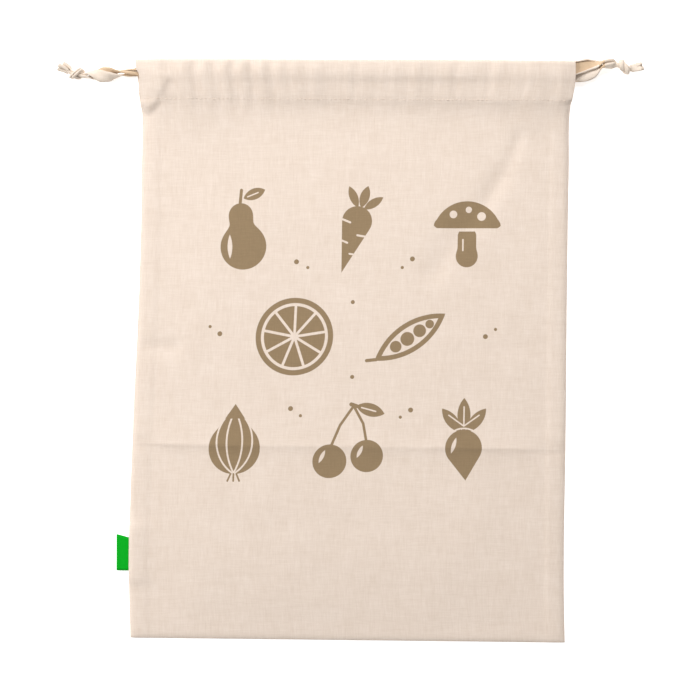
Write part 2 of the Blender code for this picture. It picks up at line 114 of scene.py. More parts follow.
# The column that tells how deep below the mouth each row of the cloth lies.
DEPTH_COLUMN = 40

# How the tunnel closes from the mouth to the seam: it falls steepest at the lower edge of the tapes.
# The left share gives way to the right one over the middle of the width.
FALLING_CHANGES, FALLING_OVER = 0.35, 0.3
FALLING = np.array([
    # depth (mm), share at the left, share at the right
    (0.0, 0.14, 0.12),
    (3.0, 0.04, 0.03),
    (6.4, 0.00, 0.02),
    (9.0, 0.07, 0.08),
    (12.0, 0.24, 0.21),
    (14.0, 0.40, 0.42),
    (16.0, 0.55, 0.62),
    (20.0, 0.71, 0.76),
    (27.7, 1.00, 1.00),
])
# Crests and troughs of the gathers at the front hem, from its left end.
GATHERS = np.array([
    # from left, height (mm)
    (0.0, 0.0), (8.0, 0.2), (15.0, 0.5), (23.5, -0.8), (28.5, 0.1), (34.0, 0.8), (41.0, -0.9),
    (48.0, 0.6), (54.5, -0.6), (61.0, 0.75), (67.5, -0.8), (73.0, 0.7), (79.0, -0.75), (86.5, 0.6),
    (93.0, -0.65), (98.5, 0.45), (104.0, -0.35), (109.0, 0.3), (116.0, -0.3), (122.0, 0.2),
    (132.0, -0.1), (180.0, 0.0), (194.0, 0.35), (201.0, -0.4), (214.0, 0.25), (222.0, -0.3),
    (235.0, 0.35), (242.0, -0.35), (250.0, 0.3), (258.0, -0.3), (271.0, 0.3), (281.0, -0.35),
    (288.0, 0.35), (300.0, -0.5),
])

# Folds and wrinkles of the front: a line from start to end, with the height at its middle line.
WRINKLES = (
    # start x, y, end x, y, height, half width on its left and right side (mm), 1 if it is sharp
    (119, 153, 109, 127, -1.00, 4.5, 4.5, 0),
    (109, 127, 91, 99, -1.45, 6.0, 7.0, 0),
    (91, 99, 53, 48, -1.05, 7.5, 10, 0),
    (31, -6.5, 146, 5.5, -0.26, 3.0, 5.0, 1),
    (-148, 3.6, -118, 3.1, -1.00, 4.0, 7.0, 0),
    (87, 42, 73, 1, 0.20, 2.6, 4.5, 1),
    (118, 46, 103, 4, 0.24, 3.0, 5.0, 1),
    (104, 26, 98, -2, -0.10, 3.0, 3.0, 0),
    (60, 30, 46, -4, 0.10, 4.0, 5.0, 0),
    (-144, 165, -134, 178, 1.30, 9.0, 2.8, 0),
    (-134, 178, -127, 192, 1.35, 9.0, 3.0, 0),
    (148, 168, 120, 138, -0.35, 9, 8, 0),
    (20, 172, -30, 170, -0.22, 6, 7, 0),
    (-70, -119, 48, -121, -0.16, 7, 8, 0),
    (-120, -170, 60, -182, 0.20, 10, 9, 0),
    (110, -100, 60, -150, 0.16, 9, 12, 0),
    (-40, -150, -75, -186, 0.14, 9, 9, 0),
    (120, -186, 60, -196, -0.18, 6, 6, 0),
)
CREASE_Y, CREASE_SLANT = -66.6 * MM, -0.0193
CREASE_HEIGHT, CREASE_ABOVE, CREASE_BELOW = mm(1.35, 12, 4.4)
DENT_DEPTH, DENT_REACH, DENT_HALF = mm(1.8, 14, 5)
# Broad, middling and small: height (mm), how many to a metre across and along the bag, seed.
UNEVEN = ((0.55, 13, 11, 0.3), (0.22, 42, 30, 7.1), (0.06, 130, 95, 2.7))
# How much of it shows in the hem, and the depths over which it comes in below.
LOOSE_IN_HEM, LOOSE_START, LOOSE_OVER = 0.25, 24 * MM, 24 * MM


def settle(x):
    """Rises from 0 at x = 0 towards 1."""
    return 1.0 - np.exp(-np.maximum(x, 0.0))


def ease(x, start=0.0, length=1.0):
    """Rises smoothly from 0 at start to 1 a length later."""
    x = np.clip((x - start) / length, 0.0, 1.0)
    return x * x * (3.0 - 2.0 * x)


def bell(x):
    """Falls from 1 at x = 0 towards 0 on both sides."""
    return np.exp(-(x**2))


def mix(a, b, share):
    return a + (b - a) * share


def unit(vectors):
    """Each vector, one long."""
    return vectors / np.linalg.norm(vectors, axis=-1, keepdims=True)


def curve(table, at, column=1):
    """A smooth curve through one column of a table whose first column rises."""
    xs, ys = table[:, 0], table[:, column]
    slopes = np.gradient(ys, xs)
    n = np.clip(np.searchsorted(xs, at) - 1, 0, len(xs) - 2)
    span = xs[n + 1] - xs[n]
    t = np.clip((at - xs[n]) / span, 0.0, 1.0)
    start = (1 + 2 * t) * (1 - t) ** 2 * ys[n] + t * (1 - t) ** 2 * span * slopes[n]
    return start + t * t * (3 - 2 * t) * ys[n + 1] + t * t * (t - 1) * span * slopes[n + 1]


def place(across, height):
    """The point at a share of the width and a height above the bottom fold, as x, y."""
    left, right = curve(OUTLINE, height, 1), curve(OUTLINE, height, 2)
    bottom = mix(BOTTOM_LEFT_Y, BOTTOM_RIGHT_Y, across)
    top = mix(TOP_LEFT_Y, TOP_RIGHT_Y, across)
    return mix(left, right, across), mix(bottom, top, height / HEIGHT)


def side_of(across):
    """The distance from the nearer side."""
    return np.minimum(across, 1.0 - across) * WIDTH


def mouth_gap(side):
    return mix(MOUTH_GAP_END, MOUTH_GAP, settle(side / MOUTH_DROOP))


def tunnel_height(side, depth, across=0.0):
    """The tunnel's clear height, which falls over the tapes and closes at the seam."""
    left, right = curve(FALLING, depth / MM, 1), curve(FALLING, depth / MM, 2)
    falling = mix(left, right, ease(across, FALLING_CHANGES, FALLING_OVER))
    at_ends = 1.0 - ease(side, TUNNEL_ENDS, TUNNEL_FADE)
    return TUNNEL * (1.0 - falling * (1.0 - TUNNEL_END_ROOM * at_ends))


def ripple(x, periods, seed):
    """An uneven ripple from -1 to 1: waves of several periods, each with its own phase."""
    phases = np.random.default_rng(seed).uniform(0, 2 * math.pi, len(periods))
    return sum(np.sin(2 * math.pi * x / p + f) for p, f in zip(periods, phases)) / len(periods)


def gather(across, depth):
    """The height that the gathers and the puckers of the seam add to the front."""
    wander = 1.1 * np.sin(depth / (5.2 * MM)) * ease(depth / (9 * MM))
    from_left = across * WIDTH / MM + wander
    rising = ease(depth, -0.6 * MM, 3.0 * MM)
    low = np.maximum(depth - GATHER_DEPTH, 0.0)
    main = curve(GATHERS, from_left) * MM * rising * np.exp(-low / GATHER_FADE)
    slanted = from_left + 0.15 * depth / MM
    fine = ripple(slanted, periods=(7.7, 11.3, 17.0, 26.0), seed=3) * FINE_GATHER
    # The fine ones show from the middle to a little before the right end, and faintly at the left.
    plain = ease(from_left, 90.0, 60.0) * (0.5 + 0.5 * ease(depth / (14 * MM))) + 0.25
    plain = plain * ease((296.0 - from_left) / 16.0)
    near_seam = bell((depth - SEAM_DEPTH) / (6.5 * MM))
    pucker = ripple(from_left, periods=(2.9, 4.3, 6.1), seed=5) * PUCKER * near_seam
    return main + fine * plain * rising * np.exp(-low / (9.0 * MM)) + pucker


def wrinkle(x, y, row):
    """The height of one fold, soft or sharp, fading at both ends."""
    x0, y0, x1, y1, height, left, right, sharp = row
    along_x, along_y = x1 - x0, y1 - y0
    length = math.hypot(along_x, along_y)
    share = ((x - x0) * along_x + (y - y0) * along_y) / length**2
    # A long one winds a little.
    bend = 1.3 * np.sin(share * 5.0 + x0) * (length > 60)
    off = ((x - x0) * along_y - (y - y0) * along_x) / length + bend
    reach = np.where(off < 0, left, right)
    form = np.exp(-np.abs(off) / reach) if sharp else bell(off / reach)
    fading = ease(share, -0.12, 0.3) * ease((1.12 - share) / 0.3)
    return height * fading * form


def packing_fold(x, y, side):
    """The height that the crease across the front adds, with its dents at both sides."""
    bow = 0.7 * MM * np.sin(x / (60 * MM))
    away = y - CREASE_Y - CREASE_SLANT * x - bow
    reach = np.where(away > 0, CREASE_ABOVE, CREASE_BELOW)
    uneven = 0.8 + 0.22 * ripple(x / MM, periods=(31.0, 47.0, 90.0), seed=8) + 0.5 * (x / (WIDTH / 2)) ** 2
    crease = CREASE_HEIGHT * uneven * np.exp(-np.abs(away) / reach)
    dent = DENT_DEPTH * np.exp(-side / DENT_REACH) * bell(away / DENT_HALF)
    return (crease - dent) * settle(side / EDGE_REACH)


def wrinkles(x, y, side):
    total = sum(wrinkle(x / MM, y / MM, row) for row in WRINKLES)
    return total * MM * settle(side / (3 * MM))


def unevenness(x, y):
    """Broad swells and small cockles of cloth that lies loose."""
    made = np.zeros(x.size)
    for n, (a, b) in enumerate(zip(x.ravel(), y.ravel())):
        for height, per_x, per_y, seed in UNEVEN:
            made[n] += height * noise.noise(Vector((a * per_x, b * per_y, seed)))
    return made.reshape(x.shape) * MM


def body_top(x, y, side, height, depth):
    """The front's outer height below the hem, before folds."""
    off_label = np.abs(y - (LABEL_LOW_Y + LABEL_HIGH_Y) / 2)
    by_label = np.where(x < 0, ease((LABEL_SWELL - off_label) / LABEL_SWELL_FADE), 0.0)
    by_label = by_label * bell(side / LABEL_SWELL_IN)
    edge = mix(EDGE_THICK, LABEL_EDGE_THICK, by_label)
    quick = EDGE_RISE * settle(side / EDGE_REACH) * settle(height / EDGE_REACH)
    slow = LOFT * settle((side / LOFT_REACH) ** 1.5) * settle((height / LOFT_FOLD_REACH) ** 1.5)
    allowance = RIDGE_HEIGHT * (1.0 - ease(side, RIDGE_FROM, RIDGE_FADE))
    allowance = allowance * ease(side / RIDGE_RISE) * ease(depth, NECK_END, RIDGE_BELOW)
    flat = edge + quick + slow + allowance
    hem_top = BACK_HEM + mouth_gap(side) + CAD_CLOTH + tunnel_height(side, HEM_DEPTH) + SEAM_STEP
    wide = np.where(x < 0, *SHOULDER_WIDE)
    reach = mix(SHOULDER_REACH_END, SHOULDER_REACH, ease(side, SHOULDER_FROM, wide))
    # The side seam holds the edges together right up to the hem, so the shoulder starts inside it.
    inside = np.where(x < 0, *SHOULDER_INSIDE)
    shoulder = np.exp(-(depth - HEM_DEPTH) / reach) * settle(side / inside)
    return mix(flat, hem_top, shoulder)


def seam_groove(depth, deep):
    """How far the hem's seam draws the cloth in."""
    return deep * bell((depth - SEAM_DEPTH) / GROOVE_HALF)


def front_top(across, height):
    """The height of the front's outer face, from the bottom fold to the mouth."""
    x, y = place(across, height)
    side, depth = side_of(across), HEIGHT - height
    body = body_top(x, y, side, height, np.maximum(depth, HEM_DEPTH)) + packing_fold(x, y, side)
    room = tunnel_height(side, np.minimum(depth, SEAM_DEPTH), across)
    hem = BACK_HEM + mouth_gap(side) + 2 * CAD_CLOTH + room
    by_end = 1.0 - ease(across * WIDTH, LEFT_END, LEFT_END_FADE)
    start, end = NECK_START + NECK_LATER * by_end, NECK_END + NECK_LONGER * by_end
    into_body = ease(depth, start, end - start)
    top = mix(hem, body, into_body) + gather(across, depth) + wrinkles(x, y, side)
    loose = unevenness(x, y) * settle(side / (12 * MM)) * settle(height / (15 * MM))
    loose = loose * mix(LOOSE_IN_HEM, 1.0, ease(depth, LOOSE_START, LOOSE_OVER))
    return top - seam_groove(depth, FRONT_GROOVE) + loose


def back_rise(side, depth):
    """How far the back's side edges lift to meet the front's just below the hem, and the seam's groove."""
    lift = BACK_LIFT * np.exp(-side / BACK_LIFT_REACH) * ease(depth, BACK_LIFT_START, BACK_LIFT_RISE)
    lift = lift * np.exp(-np.maximum(depth - BACK_LIFT_END, 0.0) / BACK_LIFT_FADE)
    return lift + seam_groove(depth, BACK_GROOVE)


# ---------------- meshes


def normals_of(grid):
    """A unit normal at each point of a grid of points, rows by columns."""
    down, right = np.gradient(grid, axis=0), np.gradient(grid, axis=1)
    return unit(np.cross(down, right))


def add_object(name, data, at=(0.0, 0.0, 0.0)):
    made = bpy.data.objects.new(name, data)
    made.location = at
    bpy.context.scene.collection.objects.link(made)
    return made


def add_mesh(name, points, faces, look, cloth):
    """A smooth mesh from points and quads, which keeps each point's place on the flat cloth."""
    mesh = bpy.data.meshes.new(name)
    mesh.from_pydata(points.reshape(-1, 3).tolist(), [], faces)
    mesh.validate()
    mesh.materials.append(look)
    made = mesh.attributes.new("cloth", "FLOAT_VECTOR", "POINT")
    made.data.foreach_set("vector", np.asarray(cloth, np.float32).ravel())
    mesh.shade_smooth()
    return add_object(name, mesh)


def grid_faces(rows, columns, first=0, flip=False, closed=False):
    """Quads of a grid of points; closed joins the last column to the first."""
    faces = []
    for r in range(rows - 1):
        for c in range(columns if closed else columns - 1):
            d = (c + 1) % columns
            ring = (r * columns + c, r * columns + d, (r + 1) * columns + d, (r + 1) * columns + c)
            ring = ring[::-1] if flip else ring
            faces.append(tuple(first + k for k in ring))
    return faces


def thick_sheet(middle, flat, thickness=CLOTH):
    """Points, faces and cloth coordinates of a closed sheet of even thickness about a grid."""
    rows, columns = middle.shape[:2]
    normal = normals_of(middle)
    outer, inner = middle + normal * thickness / 2, middle - normal * thickness / 2
    points = np.concatenate([outer, inner]).reshape(-1, 3)
    count = rows * columns
    faces = grid_faces(rows, columns, 0, flip=True) + grid_faces(rows, columns, count)
    # The rim joins them, all the way round.
    index = np.arange(count).reshape(rows, columns)
    ring = np.concatenate([index[0], index[1:, -1], index[-1, -2::-1], index[-2:0:-1, 0]]).tolist()
    faces += [(a, b, b + count, a + count) for a, b in zip(ring, ring[1:] + ring[:1])]
    coords = np.concatenate([flat, flat]).reshape(-1, 3)
    coords[:count, 2], coords[count:, 2] = 1.0, 0.0
    return points, faces, coords


# ---------------- the bag's cloth


def spaced(stops):
    """Values between stops, each stretch with its own step, as (stop, step to the next stop)."""
    values = [stops[0][0]]
    for (start, step), (end, _) in zip(stops, stops[1:]):
        count = max(1, round((end - start) / step))
        values += [start + (end - start) * (n + 1) / count for n in range(count)]
    return np.array(values)


def wall_shares():
    """The columns of the cloth between its side edges, finest at the edges and the gathers."""
    stops = ((0.3, 0.9), (3, 1.5), (15, 1.3), (96, 2.6), (285, 1.5), (297, 0.9), (299.7, 1))
    return spaced(stops) * MM / WIDTH


def front_heights():
    """Heights of the front's rows below the hem, downwards, finest at the creases and the bottom fold."""
    stops = ((0.9, 1.0), (8, 3.0), (122, 2.4), (126, 1.0), (144, 2.4), (190, 3.0), (364, 1.1), (375.4, 1))
    return spaced(stops)[-2::-1] * MM


def back_heights():
    """Heights of the back's rows below the hem, upwards."""
    return spaced(((0.9, 3.0), (14, 8.0), (350, 3.0), (369, 1.3), (375.4, 1)))[:-1] * MM


def mouth_arc(across, outer, inner):
    """Points round a mouth's fold, from the outer wall to the flap."""
    radius, middle, way = np.abs(outer - inner) / 2, (outer + inner) / 2, np.sign(outer - inner)
    points = []
    for n in range(1, ARC_STEPS):
        angle = math.pi * n / ARC_STEPS
        x, y = place(across, HEIGHT - radius * (1.0 - math.sin(angle)) - CLOTH / 2)
        points.append((x, y, middle + way * radius * math.cos(angle)))
    return points


def flap_place(across, depth):
    """The place of a hem's flap, which stops short of the sides, where the tapes turn."""
    recess = FLAP_RECESS * ease(depth, FLAP_NARROWS, FLAP_OVER) / WIDTH
    return place(recess + (1.0 - 2.0 * recess) * across, HEIGHT - depth)


def flap_rise(depth):
    """How far a flap leaves the tunnel's floor towards its free edge."""
    return FLAP_RISE * ease(depth, FLAP_LEAVES, FLAP_OVER)


def front_flap(across, depth):
    lip = BACK_HEM + mouth_gap(side_of(across))
    return *flap_place(across, depth), lip + CLOTH / 2 + flap_rise(depth)


def back_flap(across, depth):
    room = tunnel_height(side_of(across), np.minimum(depth, SEAM_DEPTH))
    return *flap_place(across, depth), 2 * CAD_CLOTH + room - CLOTH / 2 - flap_rise(depth)


def front_inset(across, depth):
    """At its left end the front of the hem stops a little short of the back."""
    shape = ease(depth, INSET_START, INSET_RISE) * (1.0 - ease(depth, INSET_END, INSET_FADE))
    return INSET * shape * (1.0 - ease(across * WIDTH / INSET_REACH))


def front_wall(across, height):
    x, y = place(across, height)
    return x + front_inset(across, HEIGHT - height), y, front_top(across, height) - CLOTH / 2


def back_wall(across, height):
    return *place(across, height), CLOTH / 2 + back_rise(side_of(across), HEIGHT - height)


def hem_height(share, radius):
    """A height in the hem's wall: from the mouth's fold at 0 to the hem's lower edge at 1."""
    return HEIGHT - mix(radius + CLOTH / 2, HEM_DEPTH, share)


def cloth_middle():
    """The middle surface of the whole cloth, rows by columns, and its flat coordinates."""
    across = wall_shares()
    rows, flat_y = [], []

    def add(point, flat):
        rows.append(np.stack([part + 0.0 * across for part in point], 1))
        flat_y.append(flat + 0.0 * across)

    # The front flap, the mouth's fold over it, and the front's wall down to the bottom fold.
    bottom_x, bottom_y = place(across, 0.0)
    mouth_y = place(across, HEIGHT)[1]
    lip = BACK_HEM + mouth_gap(side_of(across))
    radius = (front_top(across, HEIGHT) - CLOTH - lip) / 2
    fold = math.pi * radius
    for depth in np.linspace(FLAP_DEPTH, FLAP_START, 11):
        add(front_flap(across, depth), mouth_y + fold - 2 * radius + depth)
    outer = front_wall(across, HEIGHT - radius - CLOTH / 2)[2]
    for n, point in enumerate(mouth_arc(across, outer, lip + CLOTH / 2)[::-1]):
        add(point, mouth_y - radius + fold * (ARC_STEPS - 1 - n) / ARC_STEPS)
    for share in np.linspace(0.0, 1.0, 20):
        point = front_wall(across, hem_height(share, radius))
        add(point, point[1])
    for height in front_heights():
        point = front_wall(across, height)
        add(point, point[1])

    # The bottom fold.
    top, low = front_wall(across, FOLD_ROW)[2], CLOTH / 2
    radius = (top - low) / 2
    for n in range(1, ARC_STEPS):
        angle = math.pi * n / ARC_STEPS
        y = bottom_y + CLOTH / 2 + FOLD_ROW * (1.0 - math.sin(angle))
        add((bottom_x, y, (top + low) / 2 + radius * math.cos(angle)), bottom_y - radius * angle)

    # The back's wall up to its mouth, the mouth's fold, and the back flap.
    turned = 2 * bottom_y - FOLD_LENGTH
    for height in back_heights():
        point = back_wall(across, height)
        add(point, turned - point[1])
    for share in np.linspace(1.0, 0.0, 12)[1:]:
        point = back_wall(across, hem_height(share, BACK_RADIUS))
        add(point, turned - point[1])
    inner = back_flap(across, BACK_RADIUS + CLOTH / 2)[2]
    for n, point in enumerate(mouth_arc(across, CLOTH / 2, inner)):
        add(point, turned - mouth_y - math.pi * BACK_RADIUS * (n + 1) / ARC_STEPS)
    for depth in np.linspace(FLAP_START, FLAP_DEPTH, 9):
        add(back_flap(across, depth), turned - mouth_y - math.pi * BACK_RADIUS - depth)

    flat_y = np.stack(flat_y)
    flat_x = np.broadcast_to(across * WIDTH - WIDTH / 2, flat_y.shape)
    return np.stack(rows), np.stack([flat_x, flat_y, 0 * flat_y], 2)


def sample(grid, across, at):
    """One value for each row of a grid, at a share of the width that may differ from row to row."""
    at = np.broadcast_to(at, grid.shape[0])
    n = np.clip(np.searchsorted(across, at) - 1, 0, len(across) - 2)
    t = np.clip((at - across[n]) / (across[n + 1] - across[n]), 0.0, 1.0)[:, None]
    rows = np.arange(grid.shape[0])
    return grid[rows, n] * (1 - t) + grid[rows, n + 1] * t


def turned_edge(middle, flat, turn, way):
    """Columns of one side's turned-in strip, from its cut edge to its fold; way is -1 left, 1 right."""
    normal, across = normals_of(middle), wall_shares()
    points, coords = [], []
    for share in (1.0, 0.75, 0.5, 0.25, 0.06):
        inward = turn * share / WIDTH
        at = inward if way < 0 else 1.0 - inward
        point, n, coord = (sample(grid, across, at) for grid in (middle, normal, flat))
        coord[:, 0] = way * (WIDTH / 2 + turn * share)
        points.append(point - n * LAYER)
        coords.append(coord)
    edge = 0 if way < 0 else -1
    n = normal[:, edge]
    out = unit(np.array((way, 0.0, 0.0)) - n * (way * n[:, :1]))
    centre = middle[:, edge] - n * LAYER / 2
    for angle in np.radians((-45, 0, 45)):
        coord = flat[:, edge].copy()
        coord[:, 0] = way * WIDTH / 2
        points.append(centre + (out * math.cos(angle) + n * math.sin(angle)) * LAYER / 2)
        coords.append(coord)
    return points, coords


def turned_in(middle, flat, turn):
    """The cloth with both side edges turned in: the strip beneath, then the fold, then the wall."""
    left, right = (turned_edge(middle, flat, turn, way) for way in (-1, 1))
    wall = [[grid[:, c] for c in range(grid.shape[1])] for grid in (middle, flat)]
    return [np.stack(a + b + c[::-1], 1) for a, b, c in zip(left, wall, right)]


def bag_cloth(look):
    middle, flat = cloth_middle()
    depth = HEIGHT - (middle[:, DEPTH_COLUMN, 1] - BOTTOM_LEFT_Y)
    turn = mix(HEM_TURN_IN, ALLOWANCE, ease(depth, HEM_DEPTH, 6 * MM))
    points, faces, coords = thick_sheet(*turned_in(middle, flat, turn))
    piece = add_mesh("bag_cloth_sheet", points, faces, look, coords)
    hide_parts("bag_cloth")
    return piece


def stitches(look):
    """The front hem's row of stitches, each a short thread that dips into the cloth at its ends."""
    pitch, length, half = mm(3.0, 2.45, 0.24)
    steps, sides = 7, 6
    share = np.linspace(-1, 1, steps)
    thick = half * np.sqrt(np.maximum(1.0 - share**6, 0.05))[:, None]
    ring = np.linspace(0, 2 * math.pi, sides, endpoint=False)
    faces = grid_faces(steps, sides, closed=True)
    faces += [tuple(range(sides)), tuple(range((steps - 1) * sides, steps * sides))[::-1]]
    stitched, joined = [], []
    for n in range(int((WIDTH - 4 * MM) / pitch)):
        wander = 0.12 * MM * math.sin(n * 2.3) + 0.1 * MM * math.sin(n * 0.71)
        along = (2.2 * MM + (n + 0.5) * pitch + share / 2 * length) / WIDTH
        height = HEIGHT - SEAM_DEPTH + wander
        x, y = place(along, height)
        z = front_top(along, height) + 0.16 * MM - 0.26 * MM * share**4
        across, up = thick * np.cos(ring), 0.8 * thick * np.sin(ring)
        stitched.append(np.stack([x[:, None] + 0 * across, y[:, None] + across, z[:, None] + up], 2))
        joined += [tuple(n * steps * sides + k for k in face) for face in faces]
    points = np.stack(stitched)
    piece = add_mesh("casing_stitches", points, joined, look, points)
    return piece


# ---------------- drawstrings
TAPE, TAPE_CLOTH = mm(13.0, 0.5)
# How deep below the mouth a tape runs and turns back, and how far from the end of the hem it shifts
# from one to the other. At the turn it curls a little, TURN_EDGE short of the end.
RUN_DEPTH, TURN_DEPTH, SHIFT_START, SHIFT_END = mm(7.9, 20.4, 60, 24)
TURN_WIDTH, TURN_THICK, TURN_EDGE = mm(10.0, 0.95, 1.6)
# How far behind the hem's inner face the left and the right tape lie, one on the other.
INNER_SLOT, OUTER_SLOT = mm(1.3, 2.3)
# A free end's first station in the casing and the step between stations, and its knot (mm).
TIE_IN, TIE_STEP = 7.0, 0.7
KNOT_ROW, KNOT_REACH, KNOT_STRAND, KNOT_STEP, KNOT_DRAW = 7, 5.0, 2.75, 0.5, 4.0
LEFT_KNOT_ROLL, RIGHT_KNOT_ROLL = 20, 200
# How many stations sooner the second strand of a free end stops.
SHORTER_TIP = 3
UP = np.array((0.0, 0.0, 1.0))
# The tape's inner face carries painted warm shade as far as this (mm), left and right, and loses it towards
# the knot.
INNER_SHADE_END, INNER_SHADE_FADE = {-1: 27.0, 1: 18.0}, 5.0
# Out of the casing, below the mouth, axis height, turn, half spread, width, thickness (mm, degrees),
# then how far the strands lie apart sideways (mm), and whether the first and the second strand curl
# their edges towards each other (1) or away (-1).
OUT, BELOW, AXIS, TURN, SPREAD, BROAD, THICK, FAN, CURL_1, CURL_2 = range(10)
LEFT_TIE = np.array([
    (-7.0, 7.9, 7.2, 0, 4.2, 12.0, 0.6, 0.0, 1.0, 1.0),
    (0.0, 8.5, 5.8, 8, 2.0, 5.6, 2.8, 0.3, -1.0, -1.0),
    (6.0, 8.9, 5.1, 40, 1.4, 4.6, 2.4, 0.3, -1.0, -1.0),
    (12.0, 9.3, 4.8, 84, 1.3, 5.0, 2.2, 0.3, -0.8, 0.8),
    (18.5, 9.7, 4.7, 136, 1.4, 7.6, 2.0, 1.0, -1.0, 1.0),
    (26.0, 10.2, 4.3, 182, 1.3, 9.0, 1.9, 0.9, -1.0, 1.0),
    (34.0, 10.4, 4.9, 250, 1.3, 6.8, 2.2, 0.2, 0.6, 1.0),
    (42.0, 12.4, 5.35, 292, 0.8, 3.5, 1.7, 0.0, 1.0, 1.0),
    (48.5, 6.2, 4.8, 312, 1.2, 5.6, 2.2, 0.4, -0.4, 1.0),
    (54.6, 3.2, 4.4, 322, 1.3, 6.6, 2.6, 0.8, -1.0, 1.0),
])
RIGHT_TIE = np.array([
    (-7.0, 7.9, 7.2, 0, 4.2, 13.0, 0.6, 0.0, 1.0, 1.0),
    (0.0, 6.9, 6.1, 0, 1.9, 10.8, 1.9, -2.0, -0.7, -1.0),
    (6.0, 6.2, 5.6, 2, 1.4, 9.8, 2.8, -2.9, -0.6, -1.0),
    (11.0, 4.6, 5.3, 8, 1.3, 9.2, 3.0, -2.7, -0.6, -1.0),
    (15.5, 2.6, 5.2, 40, 1.2, 8.6, 2.8, -0.8, -0.2, -0.2),
    (20.0, 1.5, 5.0, 86, 1.4, 7.8, 2.8, 0.0, 0.9, 0.9),
    (27.0, 1.5, 4.9, 116, 1.5, 7.4, 2.7, 0.0, 1.0, 1.0),
    (34.4, 5.2, 5.1, 150, 0.8, 3.5, 1.7, 0.0, 1.0, 1.0),
    (40.5, 4.2, 4.6, 184, 1.2, 5.6, 2.0, 0.3, 1.0, 0.4),
    (48.6, 2.6, 4.2, 208, 1.4, 7.4, 2.4, 1.0, 1.0, -1.0),
])


def at_hem(from_end, end, depth):
    """The point x, y at a distance in from the left (-1) or right (+1) end of a hem."""
    return place(np.where(end < 0, from_end / WIDTH, 1.0 - from_end / WIDTH), HEIGHT - depth)


def slot_height(side, slot, front):
    return BACK_HEM + mouth_gap(side) + slot if front else BACK_HEM - slot + 0 * side


def evenly(line, step):
    """The line again, with points a step apart."""
    along = np.concatenate([[0], np.cumsum(np.linalg.norm(np.diff(line, axis=0), axis=1))])
    at = np.linspace(0, along[-1], max(3, round(along[-1] / step) + 1))
    return np.stack([np.interp(at, along, line[:, k]) for k in range(3)], 1)


def relax(line, share):
    """Moves each point but the ends towards the middle of its neighbours."""
    line[1:-1] += share * (line[:-2] + line[2:] - 2 * line[1:-1])


def tight_knot(thick, reach):
    """The middle line of an overhand knot along x, drawn tight until its strands touch."""
    t = np.linspace(-2.1, 2.1, 120)
    ends = 1.0 / (1.0 + np.exp((np.abs(t) - 1.9) * 10))
    line = np.stack(
        [0.16 * (t**5 - 10 * t), 0.8 * (t**3 - 3 * t) * ends, 0.5 * (t**4 - 4 * t**2 + 2) * ends], 1
    )
    line *= thick * 1.25
    # It shortens by smoothing, and strands that come too near each other are pushed apart.
    step, neighbours = 0.16, 1.9
    for _ in range(420):
        line = evenly(line, thick * step)
        relax(line, 0.22)
        for _ in range(3):
            away = line[:, None] - line[None]
            far = np.linalg.norm(away, axis=2)
            n = np.arange(len(line))
            close = (np.abs(n[:, None] - n[None]) > neighbours / step) & (far < thick)
            push = np.where(close, (thick - far) / np.maximum(far, 1e-9), 0.0)
            line[1:-1] += (0.25 * (push[:, :, None] * away).sum(1))[1:-1]
    line -= (line[0] + line[-1]) / 2
    inside = np.abs(line[:, 0]) < reach
    first, last = np.argmax(inside), len(inside) - np.argmax(inside[::-1])
    return line[first:last]


def placed_knot(start, end, roll):
    """The knot's middle line from start to end, rolled about that way."""
    way = unit(end - start)
    up = unit(UP - way * way[2])
    out = np.cross(up, way)
    side = out * math.cos(roll) + up * math.sin(roll)
    rise = up * math.cos(roll) - out * math.sin(roll)
    knot = evenly(tight_knot(KNOT_STRAND * MM, KNOT_REACH * MM), KNOT_STEP * MM)
    return (start + end) / 2 + knot @ np.stack([way, side, rise])


def transported(line):
    """Tangent and carried normal along a line, starting from the up direction."""
    tangent = unit(np.gradient(line, axis=0))
    normal = np.empty_like(tangent)
    n = UP
    for k, t in enumerate(tangent):
        n = unit(n - t * (n @ t))
        normal[k] = n
    return tangent, normal


def tie_line(table, tie_end, knot_roll):
    """A free end's middle line, how far out (mm) each point counts, its share of the knot, and its end."""

    def axis_point(out):
        x, y = at_hem(0.0 * out, tie_end, curve(table, out, BELOW) * MM)
        return np.stack([x + tie_end * out * MM, y, curve(table, out, AXIS) * MM], 1)

    centre, tip = table[KNOT_ROW, OUT], table[-1, OUT]
    knot_start, knot_end = centre - KNOT_REACH, centre + KNOT_REACH
    before = np.arange(-TIE_IN, knot_start, TIE_STEP)
    after = np.arange(knot_end + TIE_STEP / 2, tip + 0.01, TIE_STEP)
    knot = placed_knot(*axis_point(np.array([knot_start, knot_end])), math.radians(knot_roll))
    line = np.concatenate([axis_point(before), knot, axis_point(after)])
    for _ in range(3):
        relax(line, 0.25)
    # Over KNOT_DRAW before the knot the strands are drawn together as far as in it.
    drawn = before + KNOT_REACH * ease((before - knot_start + KNOT_DRAW) / KNOT_DRAW)
    out = np.concatenate([drawn, np.full(len(knot), centre), after])
    in_knot = np.concatenate([0 * before, np.linspace(0, 1, len(knot)), 0 * after + 1])
    return line, out, in_knot, len(before) + len(knot)


